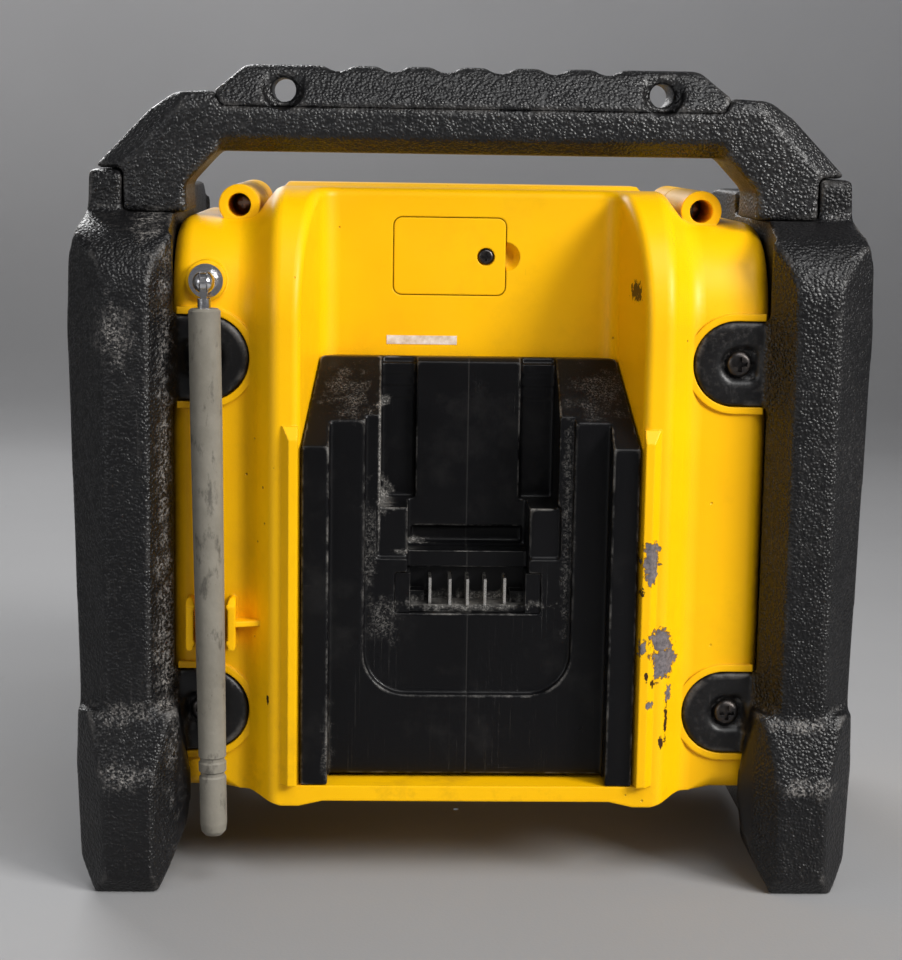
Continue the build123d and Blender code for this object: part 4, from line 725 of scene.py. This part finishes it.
# %% Display and window finishes
display_pane = finish("display_pane", (0.16, 0.19, 0.14), 0.35, specular=0.5)
upright_plane = place(display_pane, (1, 1, 1), ON_ITS_SIDE)
dots = add(display_pane, "ShaderNodeTexBrick", Vector=upright_plane, Scale=900.0, offset=0.0,
           Mortar__Size=0.05, Brick__Width=0.5, Row__Height=0.5).outputs["Fac"]
pane_tone = blend_colour(display_pane, noise(display_pane, 22.0, 3), (0.13, 0.16, 0.115), (0.18, 0.21, 0.155))
pane_tone = blend_colour(display_pane, times(display_pane, dots, 0.25), pane_tone, (0.10, 0.12, 0.09))
connect(display_pane, "Base Color", pane_tone)

window_clear = finish("window_clear", (0.92, 0.94, 0.92), 0.04, specular=0.5)
window_shader = window_clear.node_tree.nodes["Principled BSDF"]
window_shader.inputs["Transmission Weight"].default_value = 1.0
window_shader.inputs["IOR"].default_value = 1.49
wipes = steps(window_clear, streaks(window_clear, 5, 0.8, (300, 900, 900), (0, 0.5, 0)), 0.62, 0.75)
connect(window_clear, "Roughness", plus(window_clear, 0.03, times(window_clear, wipes, 0.25)))
print("display finishes:", display_pane.name, window_clear.name)

# %% [markdown]
# ## Soft corners
# The cage is moulded thick, with corners rounded by a millimetre or two everywhere, which the crisp
# measured solid does not have. A bevel on every edge breaks where many edges meet. A voxel remesh turns
# the solid into an even skin instead, and smoothing that skin melts the corners while the broad faces
# stay put.

# %% Melted skin
def melted(source, voxel, rounds):
    """An even, smoothed copy of a mesh."""
    piece = bpy.data.objects.new("melting", source.data.copy())
    bpy.context.scene.collection.objects.link(piece)
    remesh = piece.modifiers.new("remesh", "REMESH")
    remesh.mode = "VOXEL"
    remesh.voxel_size = voxel
    remesh.use_smooth_shade = True
    smooth = piece.modifiers.new("smooth", "SMOOTH")
    smooth.factor = 0.5
    smooth.iterations = rounds
    evaluated = piece.evaluated_get(bpy.context.evaluated_depsgraph_get())
    skin = bpy.data.meshes.new_from_object(evaluated)
    bpy.data.objects.remove(piece)
    return skin


print("skins by", melted.__name__)

# %% [markdown]
# ## Measured wear
# A point on an edge stands out from the average of its neighbours, and a point in a hollow lies behind
# it. Averaging the neighbours' places seven times gives a surface with the edges ironed out. How far
# each point is in front of it, counted in voxels, is the edge number that the scuffs read.

# %% Wear numbers
IRONING_ROUNDS = 7


def vector_values(collection, attribute, count):
    """Rows of three numbers from a mesh."""
    values = np.empty(count * 3, np.float32)
    collection.foreach_get(attribute, values)
    return values.reshape(-1, 3)


def measure_wear(skin, voxel):
    """Gives each point its edge number, and hands the numbers back."""
    count = len(skin.vertices)
    points = vector_values(skin.vertices, "co", count)
    normals = vector_values(skin.vertices, "normal", count)
    pairs = np.empty(len(skin.edges) * 2, np.int32)
    skin.edges.foreach_get("vertices", pairs)
    first, second = pairs.reshape(-1, 2).T
    links = np.bincount(first, minlength=count) + np.bincount(second, minlength=count)
    around = points
    for _ in range(IRONING_ROUNDS):
        totals = [np.bincount(first, around[second, k], count) + np.bincount(second, around[first, k], count)
                  for k in range(3)]
        around = np.stack(totals, 1) / np.maximum(links, 1)[:, None]
    proud = ((points - around) * normals).sum(1) / voxel
    skin.attributes.new("edge", "FLOAT", "POINT").data.foreach_set("value", proud.astype(np.float32))
    return proud


print("wear by", measure_wear.__name__, "in", IRONING_ROUNDS, "rounds")

# %% [markdown]
# ## The cage, the handle and the receiver
# These five mouldings get the soft skin. Each skin stands in for its node: it rides on the node's body
# and replaces the node in the picture. The receiver has finer detail than the
# cage, so its voxels are smaller and it is smoothed less.

# %% Soft mouldings
CAGE_VOXEL, CAGE_ROUNDS = 0.0011, 4
RECEIVER_VOXEL, RECEIVER_ROUNDS = 0.0006, 2


def softened(node, voxel, rounds, material):
    """A soft stand-in for one node, with its wear number."""
    skin = melted(nodes[node], voxel, rounds)
    skin.materials.clear()
    skin.materials.append(material)
    proud = measure_wear(skin, voxel)
    piece = bpy.data.objects.new(node + "_skin", skin)
    bpy.context.scene.collection.objects.link(piece)
    for body, members in frame["record"]["behaviour"]["bodies"].items():
        if node in members:
            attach(piece, body)
    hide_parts(node)
    print(piece.name, len(proud), "points, proud by", np.percentile(proud, [1, 50, 90, 97, 99]).round(3))


for cage_node in ("side_cage_right", "side_cage_left"):
    softened(cage_node, CAGE_VOXEL, CAGE_ROUNDS, cage_finish)
for handle_node in ("handle_frame", "handle_grip"):
    softened(handle_node, CAGE_VOXEL, CAGE_ROUNDS, handle_finish)
softened("battery_mount", RECEIVER_VOXEL, RECEIVER_ROUNDS, receiver)

# %% [markdown]
# ## Every node gets its finish
# The record names a slot for each node. Naming a finish per node would repeat the same few names dozens
# of times, so one table turns slots into finishes, and a second one names the few nodes that look
# different from the rest of their slot.

# %% Assign finishes
slot_finish = {
    "yellow_shell": yellow, "seal": seal_rubber, "cage": cage_finish, "black_steel": screw_steel,
    "steel": plain_steel, "black_plastic": trim, "contact_metal": contacts, "lead_skin": lead_skin,
    "chrome": chrome, "grey_rubber": sleeve, "clear_window": window_clear, "display": display_pane,
    "circuit_board": board_green, "knob_rubber": knob_rubber, "basket_steel": basket_steel,
    "cone": cone_paper, "magnet": magnet_metal, "heat_sink": sink_metal, "key_plastic": key_rubber,
    "label": label_paper,
}
node_finish = {"speaker_grille_left": grille_paint, "speaker_grille_right": grille_paint, "board_parts": part_epoxy}
for part in frame["record"]["subparts"]:
    materials = nodes[part["node"]].data.materials
    materials.clear()
    materials.append(node_finish.get(part["node"], slot_finish[part["material_slot"]]))
